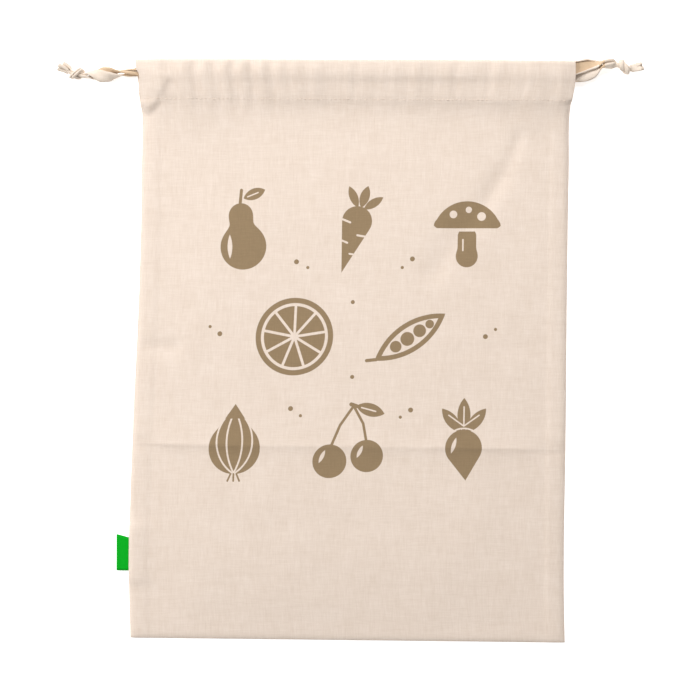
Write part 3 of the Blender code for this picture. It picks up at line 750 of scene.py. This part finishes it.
def tie_strands(table, tie_end, slot, knot_roll):
    """Stations of both strands of a free end, from inside the casing to the tips."""
    table = table.copy()
    upper, lower = (slot_height(-table[0, OUT] * MM, slot, front) / MM for front in (True, False))
    table[0, AXIS], table[0, SPREAD] = (upper + lower) / 2, (upper - lower) / 2
    line, out, in_knot, behind = tie_line(table, tie_end, knot_roll)
    tangent, normal = transported(line)
    binormal = np.cross(tangent, normal) * -tie_end
    # The knot turns the carried normal, so behind it the turn starts from upright again.
    upright = unit(UP - tangent[behind] * tangent[behind, 2])
    drift = math.atan2(upright @ binormal[behind], upright @ normal[behind])
    turn = (np.radians(curve(table, out, TURN)) + drift * ease(in_knot))[:, None]
    facing = normal * np.cos(turn) + binormal * np.sin(turn)
    across = binormal * np.cos(turn) - normal * np.sin(turn)
    spread, fan = (curve(table, out, column)[:, None] * MM for column in (SPREAD, FAN))
    width, thick = (curve(table, out, column) * MM for column in (BROAD, THICK))
    # How far the painted shade on the inner face has faded, 0 where it is full.
    unshaded_inner = ease(out, INNER_SHADE_END[tie_end], INNER_SHADE_FADE)
    strands = []
    for way, column, shorter in ((1, CURL_1, 0), (-1, CURL_2, SHORTER_TIP)):
        moved = line + way * (facing * spread - across * fan)
        strand = (moved, way * facing, across, width, thick, curve(table, out, column), unshaded_inner)
        strands.append([values[: len(line) - shorter] for values in strand])
    return strands


def lying(x, y, z, facing, shift):
    """Stations of a tape in a hem; shift is 0 where it lies flat and 1 where it turns back."""
    across = np.tile((0.0, 1.0, 0.0), (len(x), 1))
    width, thick = mix(TAPE, TURN_WIDTH, shift), mix(TAPE_CLOTH, TURN_THICK, shift)
    # Inside the hems the inner face keeps its full painted shade.
    return np.stack([x, y, z], 1), facing, across, width, thick, 1 + 0 * shift, 0 * shift


def run(tie_end, slot, front):
    """Stations along one tunnel, from beside the free end to where the tape turns back."""
    near = np.array((7, 9, 12, 16, 20, 25, 31, 38, 46, 54, 62, 75, 90, 105, 120, 140.0)) * MM
    from_end = np.concatenate([near, near[::-1]])
    end = np.concatenate([0 * near + tie_end, 0 * near - tie_end])
    shift = np.where(end == tie_end, 0.0, ease((SHIFT_START - from_end) / (SHIFT_START - SHIFT_END)))
    x, y = at_hem(from_end, end, mix(RUN_DEPTH, TURN_DEPTH, shift))
    facing = np.tile(UP if front else -UP, (len(x), 1))
    return lying(x, y, slot_height(from_end, slot, front), facing, shift)


def turn_back(end, slot):
    """Stations round the end of the hem, from the front tunnel to the back one."""
    # The hems lie further apart the further in, so the turn's radius settles in a few steps.
    side = FLAP_RECESS
    for _ in range(4):
        high, low = (slot_height(side, slot, front) for front in (True, False))
        radius = (high - low) / 2
        side = TURN_EDGE + radius
    angle = np.linspace(0, math.pi, 15)
    x, y = at_hem(side - radius * np.sin(angle), end, TURN_DEPTH)
    facing = np.stack([end * np.sin(angle), 0 * angle, np.cos(angle)], 1)
    return lying(x, y, low + radius + radius * np.cos(angle), facing, 1 + 0 * angle)


def folded(width, thick, curl, count=15):
    """The section of the tape curled lengthwise: part of an ellipse as long as the tape is wide."""
    a, b = max(width - TAPE_CLOTH, 1e-4) / 2, max((thick - TAPE_CLOTH) / 2, 0.02 * MM)
    angle = np.linspace(0, 0.94 * math.pi, 120)
    steps = np.hypot(np.diff(a * np.sin(angle)), np.diff(b * np.cos(angle)))
    along = np.concatenate([[0], np.cumsum(steps)])
    at = np.interp(np.linspace(0, min(TAPE / 2, along[-1]), count // 2 + 1), along, angle)
    at = np.concatenate([-at[:0:-1], at])
    depth = b * (np.cos(at) - 1.0)
    return a * np.sin(at), curl * (depth - depth.min() / 2)


def drawstring(name, tie_end, slot, table, knot_roll, look):
    """One tape: a free end, its run through the front hem, round, and back through the back hem."""
    front_end, back_end = tie_strands(table, tie_end, slot, knot_roll)
    stretches = [
        [values[::-1] for values in front_end],
        [values[1:] for values in run(tie_end, slot, True)],
        turn_back(-tie_end, slot),
        [values[::-1][:-1] for values in run(tie_end, slot, False)],
        back_end,
    ]
    line, facing, across, width, thick, curl, unshaded_inner = (np.concatenate(values) for values in zip(*stretches))
    rows, flats, travelled = [], [], 0.0
    for k in range(len(line)):
        a, b = folded(width[k], thick[k], curl[k])
        travelled += np.linalg.norm(line[k] - line[k - 1]) if k else 0.0
        rows.append(line[k] + a[:, None] * across[k] + b[:, None] * facing[k])
        flats.append(np.stack([np.linspace(-0.5, 0.5, len(a)) * TAPE, 0 * a + travelled, 0 * a], 1))
    points, faces, coords = thick_sheet(np.stack(rows), np.stack(flats), TAPE_CLOTH)
    # The inner face's painted shade fades to the outer face's colour near the knots.
    coords[len(coords) // 2 :, 2] = np.repeat(unshaded_inner, len(a))
    piece = add_mesh(name + "_tape", points, faces, look, coords)
    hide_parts(name)
    return piece


# ---------------- label
# Its thickness, the room between its halves, and how far it reaches into and out of the seam.
LABEL_LAYER, LABEL_LOOSE, LABEL_IN, LABEL_FOLD = mm(0.42, 0.12, 4.4, 9.4)
# Where its fold starts to round, how much lower its top is at the seam, and its rows' step laid flat.
LABEL_ROUNDS, LABEL_SLANT, LABEL_ROW = mm(8.4, 2.4, 0.8)
LABEL_SEAM_Z, LABEL_FREE_Z = CAD_CLOTH + CLEAR + 0.55 * MM, 0.85 * MM


def side_label(look):
    """A woven label folded double, its fold outwards and its two ends caught in the left seam."""
    low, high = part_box("side_label")
    edge = high.x - LABEL_IN
    near_fold = np.array((8.9, 9.15, 9.35)) * MM
    half = np.concatenate([np.linspace(-LABEL_IN, 8.6 * MM, 17), near_fold, [LABEL_FOLD]])
    across = np.linspace(0.0, 1.0, 15)
    fold = len(half) - 1
    rows, flats = [], []
    for n, out in enumerate(np.concatenate([half, half[-2::-1]])):
        share = np.clip(out / (edge - low.x), 0.0, 1.0)
        gap = (LABEL_LAYER + LABEL_LOOSE) / 2 * (1.0 + 0.8 * math.sin(math.pi * share))
        gap *= math.sqrt(max(1.0 - max((out - LABEL_ROUNDS) / MM, 0.0) ** 2, 0.0))
        y = mix(LABEL_LOW_Y + CLEAR, LABEL_HIGH_Y - CLEAR - LABEL_SLANT * (1.0 - share), across)
        wave = 0.16 * MM * np.sin(across * 5.0 + 1.0) * share
        z = mix(LABEL_SEAM_Z, LABEL_FREE_Z, ease(share * 1.15)) + np.sign(n - fold) * gap + wave
        rows.append(np.stack([edge - out + 0 * y, y, z], 1))
        flats.append(np.stack([0 * y + (n - fold - 1) * LABEL_ROW, y, 0 * y], 1))
    points, faces, coords = thick_sheet(np.stack(rows), np.stack(flats), LABEL_LAYER)
    piece = add_mesh("woven_side_label", points, faces, look, coords)
    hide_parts("side_label")
    return piece


# ---------------- materials
INK = (0.30, 0.21, 0.118)
GREEN = (0.001, 0.382, 0.013)
# The inner-face tints are painted shade: a warmer, darker colour standing in for the warm shade inside the
# tape's curls and at the back layer's edge in the side opening.
COTTON, COTTON_INNER_SHADE = (0.795, 0.668, 0.568), (0.90, 0.79, 0.62)
TAPE_COTTON, TAPE_INNER_SHADE = (0.80, 0.685, 0.575), (0.82, 0.70, 0.55)
# From yarn to yarn, and how long a yarn stays as thick as it is.
BAG_PITCH, TAPE_PITCH, THREAD_PITCH = mm(0.5, 0.55, 0.3)
BAG_RUN, TAPE_RUN, THREAD_RUN = mm(9, 6, 2)


class Field:
    """A number that varies over a material: a node's output that adds and multiplies like a number."""

    def __init__(self, look, socket):
        self.look, self.socket = look, socket

    def __add__(self, other):
        return self.look.maths("ADD", self, other)

    def __sub__(self, other):
        return self.look.maths("SUBTRACT", self, other)

    def __rsub__(self, other):
        return self.look.maths("SUBTRACT", other, self)

    def __mul__(self, other):
        return self.look.maths("MULTIPLY", self, other)

    def __pow__(self, power):
        return self.look.maths("POWER", self, power)

    def __abs__(self):
        return self.look.maths("ABSOLUTE", self)


class Look:
    """A material built by short calls. A value is a number, a tuple, a field or a socket."""

    def __init__(self, name, roughness, sheen=0.0, specular=0.15):
        self.material = bpy.data.materials.new(name)
        self.material.use_nodes = True
        self.tree = self.material.node_tree
        self.shader = self.tree.nodes["Principled BSDF"]
        self.fill(self.shader, {"Roughness": roughness, "Specular IOR Level": specular})
        self.fill(self.shader, {"Sheen Weight": sheen, "Sheen Roughness": 0.6})

    def put(self, socket, value):
        if isinstance(value, Field):
            value = value.socket
        if isinstance(value, bpy.types.NodeSocket):
            self.tree.links.new(value, socket)
        elif socket.type == "RGBA":
            socket.default_value = (*value, 1.0)
        else:
            socket.default_value = value

    def fill(self, node, values):
        """Puts values into a node's named inputs."""
        for name, value in values.items():
            self.put(node.inputs[name], value)

    def node(self, kind, *values, **settings):
        """A new node, with values for its first inputs."""
        made = self.tree.nodes.new("ShaderNode" + kind)
        for key, value in settings.items():
            setattr(made, key, value)
        for socket, value in zip(made.inputs, values):
            self.put(socket, value)
        return made

    def cloth(self):
        """The place on the flat cloth, in metres, with 1 in its third part on the outer face."""
        return self.node("Attribute", attribute_name="cloth").outputs["Vector"]

    def maths(self, operation, *values):
        return Field(self, self.node("Math", *values, operation=operation).outputs[0])

    def vector(self, operation, *values):
        return self.node("VectorMath", *values, operation=operation).outputs["Vector"]

    def measure(self, operation, *values):
        """A number worked out from vectors."""
        return Field(self, self.node("VectorMath", *values, operation=operation).outputs["Value"])

    def parts(self, at):
        return [Field(self, part) for part in self.node("SeparateXYZ", at).outputs]

    def noise(self, at, stretch, detail=1.0):
        made = self.node("TexNoise")
        self.fill(made, {"Vector": self.vector("MULTIPLY", at, stretch), "Scale": 1.0, "Detail": detail})
        return Field(self, made.outputs["Fac"])

    def ramp(self, value, low, high):
        """From 0 at low to 1 at high, smoothly."""
        made = self.node("MapRange", value, low, high, interpolation_type="SMOOTHSTEP")
        return Field(self, made.outputs[0])

    def blend(self, share, a, b):
        made = self.node("Mix", data_type="RGBA")
        self.put(made.inputs["Factor"], share)
        self.put(made.inputs[6], a)
        self.put(made.inputs[7], b)
        return made.outputs[2]

    def finish(self, colour, height, distance, strength):
        bump = self.node("Bump")
        self.fill(bump, {"Height": height, "Distance": distance, "Strength": strength})
        self.fill(self.shader, {"Base Color": colour, "Normal": bump.outputs[0]})
        return self.material


def either(*shapes, soft=0.0):
    """All of the shapes together, with their joints rounded by soft."""
    total = shapes[0]
    for shape in shapes[1:]:
        total = total.look.maths("SMOOTH_MIN" if soft else "MINIMUM", total, shape, soft)
    return total


def both(*shapes):
    total = shapes[0]
    for shape in shapes[1:]:
        total = total.look.maths("MAXIMUM", total, shape)
    return total


def without(shape, *cuts):
    return both(shape, *(cut * -1.0 for cut in cuts))


class Paper:
    """Where a motif is drawn. Its shapes are distances from their outlines, below 0 inside."""

    def __init__(self, look, at, x=0.0, y=0.0, turn=0.0, size=1.0):
        """A place about x, y of another one, turned by some degrees and in units of size."""
        rotation = (0.0, 0.0, math.radians(turn))
        made = look.node("Mapping", at, (x, y, 0.0), rotation, (size, size, 1.0), vector_type="TEXTURE")
        self.look, self.at = look, made.outputs[0]

    def disc(self, x, y, radius):
        return self.look.measure("DISTANCE", self.at, (x, y, 0.0)) - radius

    def ring(self, x, y, radius, half):
        return abs(self.disc(x, y, radius)) - half

    def side(self, x, y, turn):
        """Below 0 on the side of a line through x, y that its direction's left hand points to."""
        across = (math.sin(math.radians(turn)), -math.cos(math.radians(turn)), 0.0)
        return self.look.measure("DOT_PRODUCT", self.at, across) - (x * across[0] + y * across[1])

    def leaf(self, start, end, width):
        """A leaf pointed at both ends: what two discs share."""
        (x0, y0), (x1, y1) = start, end
        length = math.dist(start, end)
        radius = (length**2 + width**2) / 4 / width
        off = (radius - width / 2) / length
        nx, ny, mx, my = (y0 - y1) * off, (x1 - x0) * off, (x0 + x1) / 2, (y0 + y1) / 2
        return both(self.disc(mx + nx, my + ny, radius), self.disc(mx - nx, my - ny, radius))

    def along_line(self, start, end):
        """How long a line is, and how far along it and off it each point lies."""
        (x0, y0), (x1, y1) = start, end
        turned = Paper(self.look, self.at, x0, y0, math.degrees(math.atan2(y1 - y0, x1 - x0)))
        along, off, _ = self.look.parts(turned.at)
        return math.dist(start, end), along, off

    def stroke(self, start, end, half):
        """A line with round ends."""
        length, along, off = self.along_line(start, end)
        past = self.look.maths("MAXIMUM", along, length) - length + self.look.maths("MINIMUM", along, 0.0)
        return (off * off + past * past) ** 0.5 - half

    def drop(self, tip, centre, radius):
        """A disc that tapers straight to a tip."""
        length, along, off = self.along_line(tip, centre)
        sin = radius / length
        cos = math.sqrt(1.0 - sin * sin)
        wedge = both(abs(off) * cos - along * sin, along - length * cos * cos)
        return either(self.disc(*centre, radius), wedge)


# The motifs, each about 46 mm high, about its own middle.


def pear(p):
    body = either(p.disc(0, -9, 12.5), p.disc(0.6, 8, 6.6), soft=9.0)
    shine = p.leaf((-8.0, -14.5), (-6.6, -1.5), 2.6)
    stem = p.stroke((0.8, 13.5), (2.6, 21.5), 0.85)
    leaf = p.leaf((3.2, 17.0), (15.5, 20.0), 6.0)
    vein = p.stroke((5.5, 17.5), (11.5, 19.0), 0.35)
    return either(without(body, shine), stem, without(leaf, vein))


def carrot(p):
    body = p.drop((0, -24), (0, 5), 8.2)
    cuts = [
        p.stroke((-9, 4), (-3.4, 3.4), 0.55),
        p.stroke((9, -1.5), (2.4, -2.2), 0.55),
        p.stroke((-7, -7), (-1.8, -7.6), 0.55),
        p.stroke((6, -12.5), (1.2, -13.0), 0.5),
    ]
    tops = [
        p.leaf((0, 12.6), (0.4, 25.0), 5.2),
        p.leaf((-1.6, 12.2), (-9.6, 22.0), 4.6),
        p.leaf((1.6, 12.2), (10.0, 21.4), 4.6),
    ]
    return either(without(body, *cuts), *tops)


def peas(p):
    shell = p.leaf((-23, 0), (22, 0), 15.5)
    inside = p.leaf((-18.5, 0), (17.5, 0), 10.4)
    seeds = [p.disc(x, 0, r) for x, r in ((-9.6, 3.1), (-2.2, 3.7), (5.6, 3.4), (12.0, 2.3))]
    stem = p.stroke((-22, 0), (-26.5, 2.4), 0.9)
    return either(without(shell, inside), *seeds, stem)


def mushroom(p):
    cap = both(p.disc(0, -4.5, 21.0), p.side(0, 1.8, 0))
    cap = either(cap, p.stroke((-17.6, 2.6), (17.6, 2.6), 2.3), soft=1.6)
    spots = [p.disc(x, y, r) for x, y, r in ((-8.5, 8.6, 2.3), (0.8, 11.4, 1.9), (8.6, 7.4, 2.6))]
    stem = either(p.stroke((0, -4.6), (0, -14.5), 5.6), p.disc(0, -16.5, 6.6), soft=2.0)
    stem = both(stem, p.side(0, -1.6, 180))
    line = p.stroke((-2.4, -6.5), (-2.4, -13.0), 0.45)
    return either(without(cap, *spots), without(stem, line))


def radish(p):
    root = p.drop((1.5, -23), (0, -4.5), 10.4)
    shine = p.leaf((-7.0, -7.5), (-4.2, 1.5), 2.2)
    tops = [
        p.leaf((0, 4.6), (0.0, 24.0), 7.4),
        p.leaf((-1.4, 4.4), (-12.5, 18.0), 6.6),
        p.leaf((1.4, 4.4), (12.5, 18.0), 6.6),
    ]
    veins = [p.stroke((0, 8.0), (x, y), 0.4) for x, y in ((0, 19.0), (-8.6, 14.2), (8.6, 14.2))]
    crown = p.ring(0, -4.5, 11.2, 0.45)
    return either(without(root, shine), without(either(*tops), *veins, crown))


def cherries(p):
    balls = either(p.disc(-10.0, -12.0, 9.6), p.disc(11.0, -9.0, 9.2))
    shines = [p.leaf((-16.0, -13.0), (-12.6, -5.6), 2.2), p.leaf((5.4, -10.0), (8.6, -3.0), 2.2)]
    stem = ((-9.4, -3.6), (-4.5, 8.5), (3.0, 19.5), (8.6, 9.5), (10.6, -1.0))
    stems = [p.stroke(start, end, 0.75) for start, end in zip(stem, stem[1:])]
    leaf, vein = p.leaf((4.4, 19.6), (20.5, 15.0), 7.4), p.stroke((7.5, 18.6), (15.5, 16.4), 0.4)
    knob = p.stroke((1.6, 20.4), (4.6, 19.4), 1.15)
    return either(without(balls, *shines), *stems, without(leaf, vein), knob)


def citrus(p):
    x, y, _ = p.look.parts(p.at)
    segment, past_any_turn = 2 * math.pi / 9, 7.0
    angle = p.look.maths("ARCTAN2", y, x) + past_any_turn
    off = p.look.maths("PINGPONG", angle, segment / 2)
    spoke = off * p.look.measure("LENGTH", p.at) - 0.75
    flesh = without(p.disc(0, 0, 17.4), p.disc(0, 0, 2.4), spoke)
    return either(flesh, p.ring(0, 0, 20.6, 1.5))


def onion(p):
    bulb = either(p.drop((0, 21), (0, -4), 14.0), p.disc(0, -5, 14.6), soft=2.0)
    layers = p.leaf((0, -19), (0, 17), 9.0), p.leaf((0, -19.5), (0, 18.0), 20.5)
    lines = [both(abs(layer) - 0.5, p.side(0, 12.5, 180)) for layer in layers]
    roots = [p.stroke((x * 0.5, -19.6), (x, -23.6), 0.5) for x in (-3.4, 0.0, 3.4)]
    return either(without(bulb, *lines), *roots)


# Motif, middle x and y (mm), turn (degrees), size.
MOTIFS = (
    (pear, -79, 84, 8, 1.28),
    (carrot, 0, 84, -16, 1.28),
    (mushroom, 79, 85, 0, 1.16),
    (citrus, -40, 10, 10, 1.22),
    (peas, 41, 10, 34, 1.3),
    (onion, -79, -62, 0, 1.2),
    (cherries, -1, -62, 0, 1.22),
    (radish, 79, -62, 0, 1.22),
)
# Middle x and y and radius (mm).
DOTS = (
    (-40, 62, 1.7), (-32, 58, 1.1), (41, 64, 1.7), (34, 58, 1.1), (-92, 12, 1.7), (-99, 17, 1.1),
    (93, 10, 1.7), (100, 15, 1.1), (-41, -40, 1.7), (-34, -45, 1.1), (42, -41, 1.7), (35, -46, 1.1),
    (0, 34, 1.4), (1, -18, 1.4),
)


def produce_print(look, at):
    """1 where there is ink: fruit and vegetables and dots on the front."""
    at = look.vector("MULTIPLY", at, (1.0, 1.0, 0.0))
    shapes = [motif(Paper(look, at, x * MM, y * MM, turn, size * MM)) for motif, x, y, turn, size in MOTIFS]
    front = Paper(look, at, size=MM)
    shapes += [front.disc(x, y, radius) for x, y, radius in DOTS]
    return look.ramp(either(*shapes), 0.12, -0.12)


def woven(look, at, pitch, run_length):
    """Plain weave: its height, and how thick and bright its uneven yarns are, both about 0 to 1."""
    x, y, _ = look.parts(at)
    along_x, along_y = (look.maths("SINE", part * (math.pi / pitch)) for part in (x, y))
    over = look.ramp(along_x * along_y, -0.4, 0.4)
    weave = abs(along_x) * over + abs(along_y) * (1.0 - over)
    fine, long = 0.55 / pitch, 1.0 / run_length
    warp = look.noise(at, (fine, long, 1.0), 1.5)
    weft = look.noise(look.vector("ADD", at, (0.31, 0.17, 0.0)), (long, fine, 1.0), 1.5)
    return weave, warp, weft


def about_one(value, middle, amount):
    """A value about a middle, as a factor about 1."""
    return value * (amount / middle) + (1.0 - amount)


def tinted(look, base, shade, powers=(1.0, 1.0, 1.0)):
    """A base colour times a shade near 1, whose effect may differ from channel to channel."""
    channels = look.node("CombineXYZ", *(shade if power == 1.0 else shade**power for power in powers))
    return look.vector("MULTIPLY", base, channels.outputs[0])


def hem_painted_shade(look, at):
    """Painted shade: a darker band over the front hem, unevenly, from a little below its seam to near the
    mouth, standing in for the shade of the hem's slopes and creases; in part it is the turned-in layer and
    the tape showing through.
    """
    x, y, _ = look.parts(at)
    to_seam, to_mouth = look.ramp(y, 0.156, 0.184), look.ramp(y, 0.196, 0.187)
    above_seam = look.ramp(y, 0.171, 0.177)
    by_left = look.ramp(x, -0.045, -0.085)
    here = to_seam + (above_seam - to_seam) * by_left
    uneven = look.noise(at, (70.0, 30.0, 1.0)) * 0.06 + 0.045
    return 1.0 - here * to_mouth * uneven


def cotton(name, base, pitch, run_length, inner=(1.0, 1.0, 1.0), ink=False, hem=False):
    """Undyed cotton whose inner face is tinted with painted warm shade, and if asked for the print, the
    hem's pleats and the hem's painted shade.
    """
    look = Look(name, roughness=0.92, sheen=0.1)
    at = look.cloth()
    _, y, face = look.parts(at)
    face = look.ramp(face, 0.4, 0.6)
    weave, warp, weft = woven(look, at, pitch, run_length)
    shade = about_one(weave, 0.6, 0.05) * about_one(warp, 0.5, 0.085) * about_one(weft, 0.5, 0.07)
    for stretch, detail, amount in (
        ((330.0, 45.0, 1.0), 1.0, 0.045),
        ((40.0, 280.0, 1.0), 1.0, 0.04),
        ((60.0, 45.0, 1.0), 2.0, 0.04),
    ):
        shade = shade * about_one(look.noise(at, stretch, detail), 0.5, amount)
    # The inner face takes the painted warm shade.
    colour = look.blend(face, tuple(a * b for a, b in zip(base, inner)), base)
    colour = tinted(look, colour, shade, (0.8, 1.0, 1.25))
    slubs = look.ramp(warp, 0.62, 0.78) + look.ramp(weft, 0.62, 0.78)
    height = slubs * 0.5 + weave + (warp + weft) * 0.9
    if hem:
        pleat = look.noise(at, (310.0, 20.0, 1.0)) * look.noise(at, (24.0, 60.0, 1.0))
        height = pleat * look.ramp(y, 0.163, 0.177) * 8.0 + height
        # Painted shade: the hem's darker band.
        colour = look.vector("MULTIPLY", colour, hem_painted_shade(look, at))
    if ink:
        worn = about_one(warp * weft, 0.25, 0.08)
        colour = look.blend(produce_print(look, at) * face, colour, tinted(look, INK, worn))
    return look.finish(colour, height, distance=0.11 * MM, strength=0.55)


def label_cloth():
    """The label's green weave: fine ribs along the bag's side and a twill, with hardly any shine."""
    look = Look("green_label_satin", roughness=0.55, specular=0.06)
    at = look.cloth()
    x, y, _ = look.parts(at)
    rib = abs(look.maths("SINE", y * (math.pi / (0.34 * MM))))
    twill = look.maths("SINE", (x + y) * (2 * math.pi / (0.6 * MM)))
    grain = look.noise(at, (600.0, 2500.0, 1.0), 2.0)
    shade = about_one(rib, 0.6, 0.10) * about_one(grain, 0.5, 0.12)
    height = twill * 0.25 + rib
    return look.finish(tinted(look, GREEN, shade), height, distance=0.06 * MM, strength=0.5)


# ---------------- camera, light and floor
VIEW_WIDTH, VIEW_X, VIEW_Y, VIEW_PLANE = 0.4884, -0.0007, 0.0007, 0.003
FLOOR_HALF, FLOOR_Z = 3.0, -0.05 * MM


def camera():
    data = bpy.data.cameras.new("camera")
    data.lens, data.sensor_width = 85.0, 36.0
    distance = VIEW_WIDTH * data.lens / data.sensor_width
    bpy.context.scene.camera = add_object("camera", data, (VIEW_X, VIEW_Y, distance + VIEW_PLANE))


def area_light(name, at, size, power):
    """A round light that looks at the middle of the bag."""
    data = bpy.data.lights.new(name, "AREA")
    data.shape, data.size, data.energy = "DISK", size, power
    aim = Vector((0.0, -0.02, 0.0)) - Vector(at)
    add_object(name, data, at).rotation_euler = aim.to_track_quat("-Z", "Y").to_euler()


def studio():
    white = (1.0, 1.0, 1.0)
    look = Look("floor_white", roughness=0.9)
    look.put(look.shader.inputs["Base Color"], (0.95, 0.95, 0.95))
    look.fill(look.shader, {"Emission Color": white, "Emission Strength": 0.6})
    corners = np.array([(x, y, 0.0) for x, y in ((-1, -1), (1, -1), (1, 1), (-1, 1))]) * FLOOR_HALF
    corners[:, 2] = FLOOR_Z
    floor = add_mesh("floor", corners, [(0, 1, 2, 3)], look.material, corners * 0)
    world = bpy.data.worlds.new("studio")
    world.use_nodes = True
    background = world.node_tree.nodes["Background"]
    background.inputs["Color"].default_value = (*white, 1.0)
    background.inputs["Strength"].default_value = 0.315
    bpy.context.scene.world = world
    area_light("key", (-1.8, 0.6, 1.8), size=1.2, power=40.0)
    area_light("top", (0.15, 1.25, 1.35), size=0.9, power=20.0)
    bpy.context.scene.view_settings.view_transform = "Standard"


bag_look = cotton("natural_cotton_weave", COTTON, BAG_PITCH, BAG_RUN, COTTON_INNER_SHADE, ink=True, hem=True)
tape_look = cotton("cotton_tape_weave", TAPE_COTTON, TAPE_PITCH, TAPE_RUN, TAPE_INNER_SHADE)
thread_look = cotton("cotton_thread", COTTON, THREAD_PITCH, THREAD_RUN)
pieces = [
    bag_cloth(bag_look),
    stitches(thread_look),
    drawstring("drawstring_left", -1, INNER_SLOT, LEFT_TIE, LEFT_KNOT_ROLL, tape_look),
    drawstring("drawstring_right", 1, OUTER_SLOT, RIGHT_TIE, RIGHT_KNOT_ROLL, tape_look),
    side_label(label_cloth()),
]
for piece in pieces:
    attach(piece, "root")
camera()
studio()
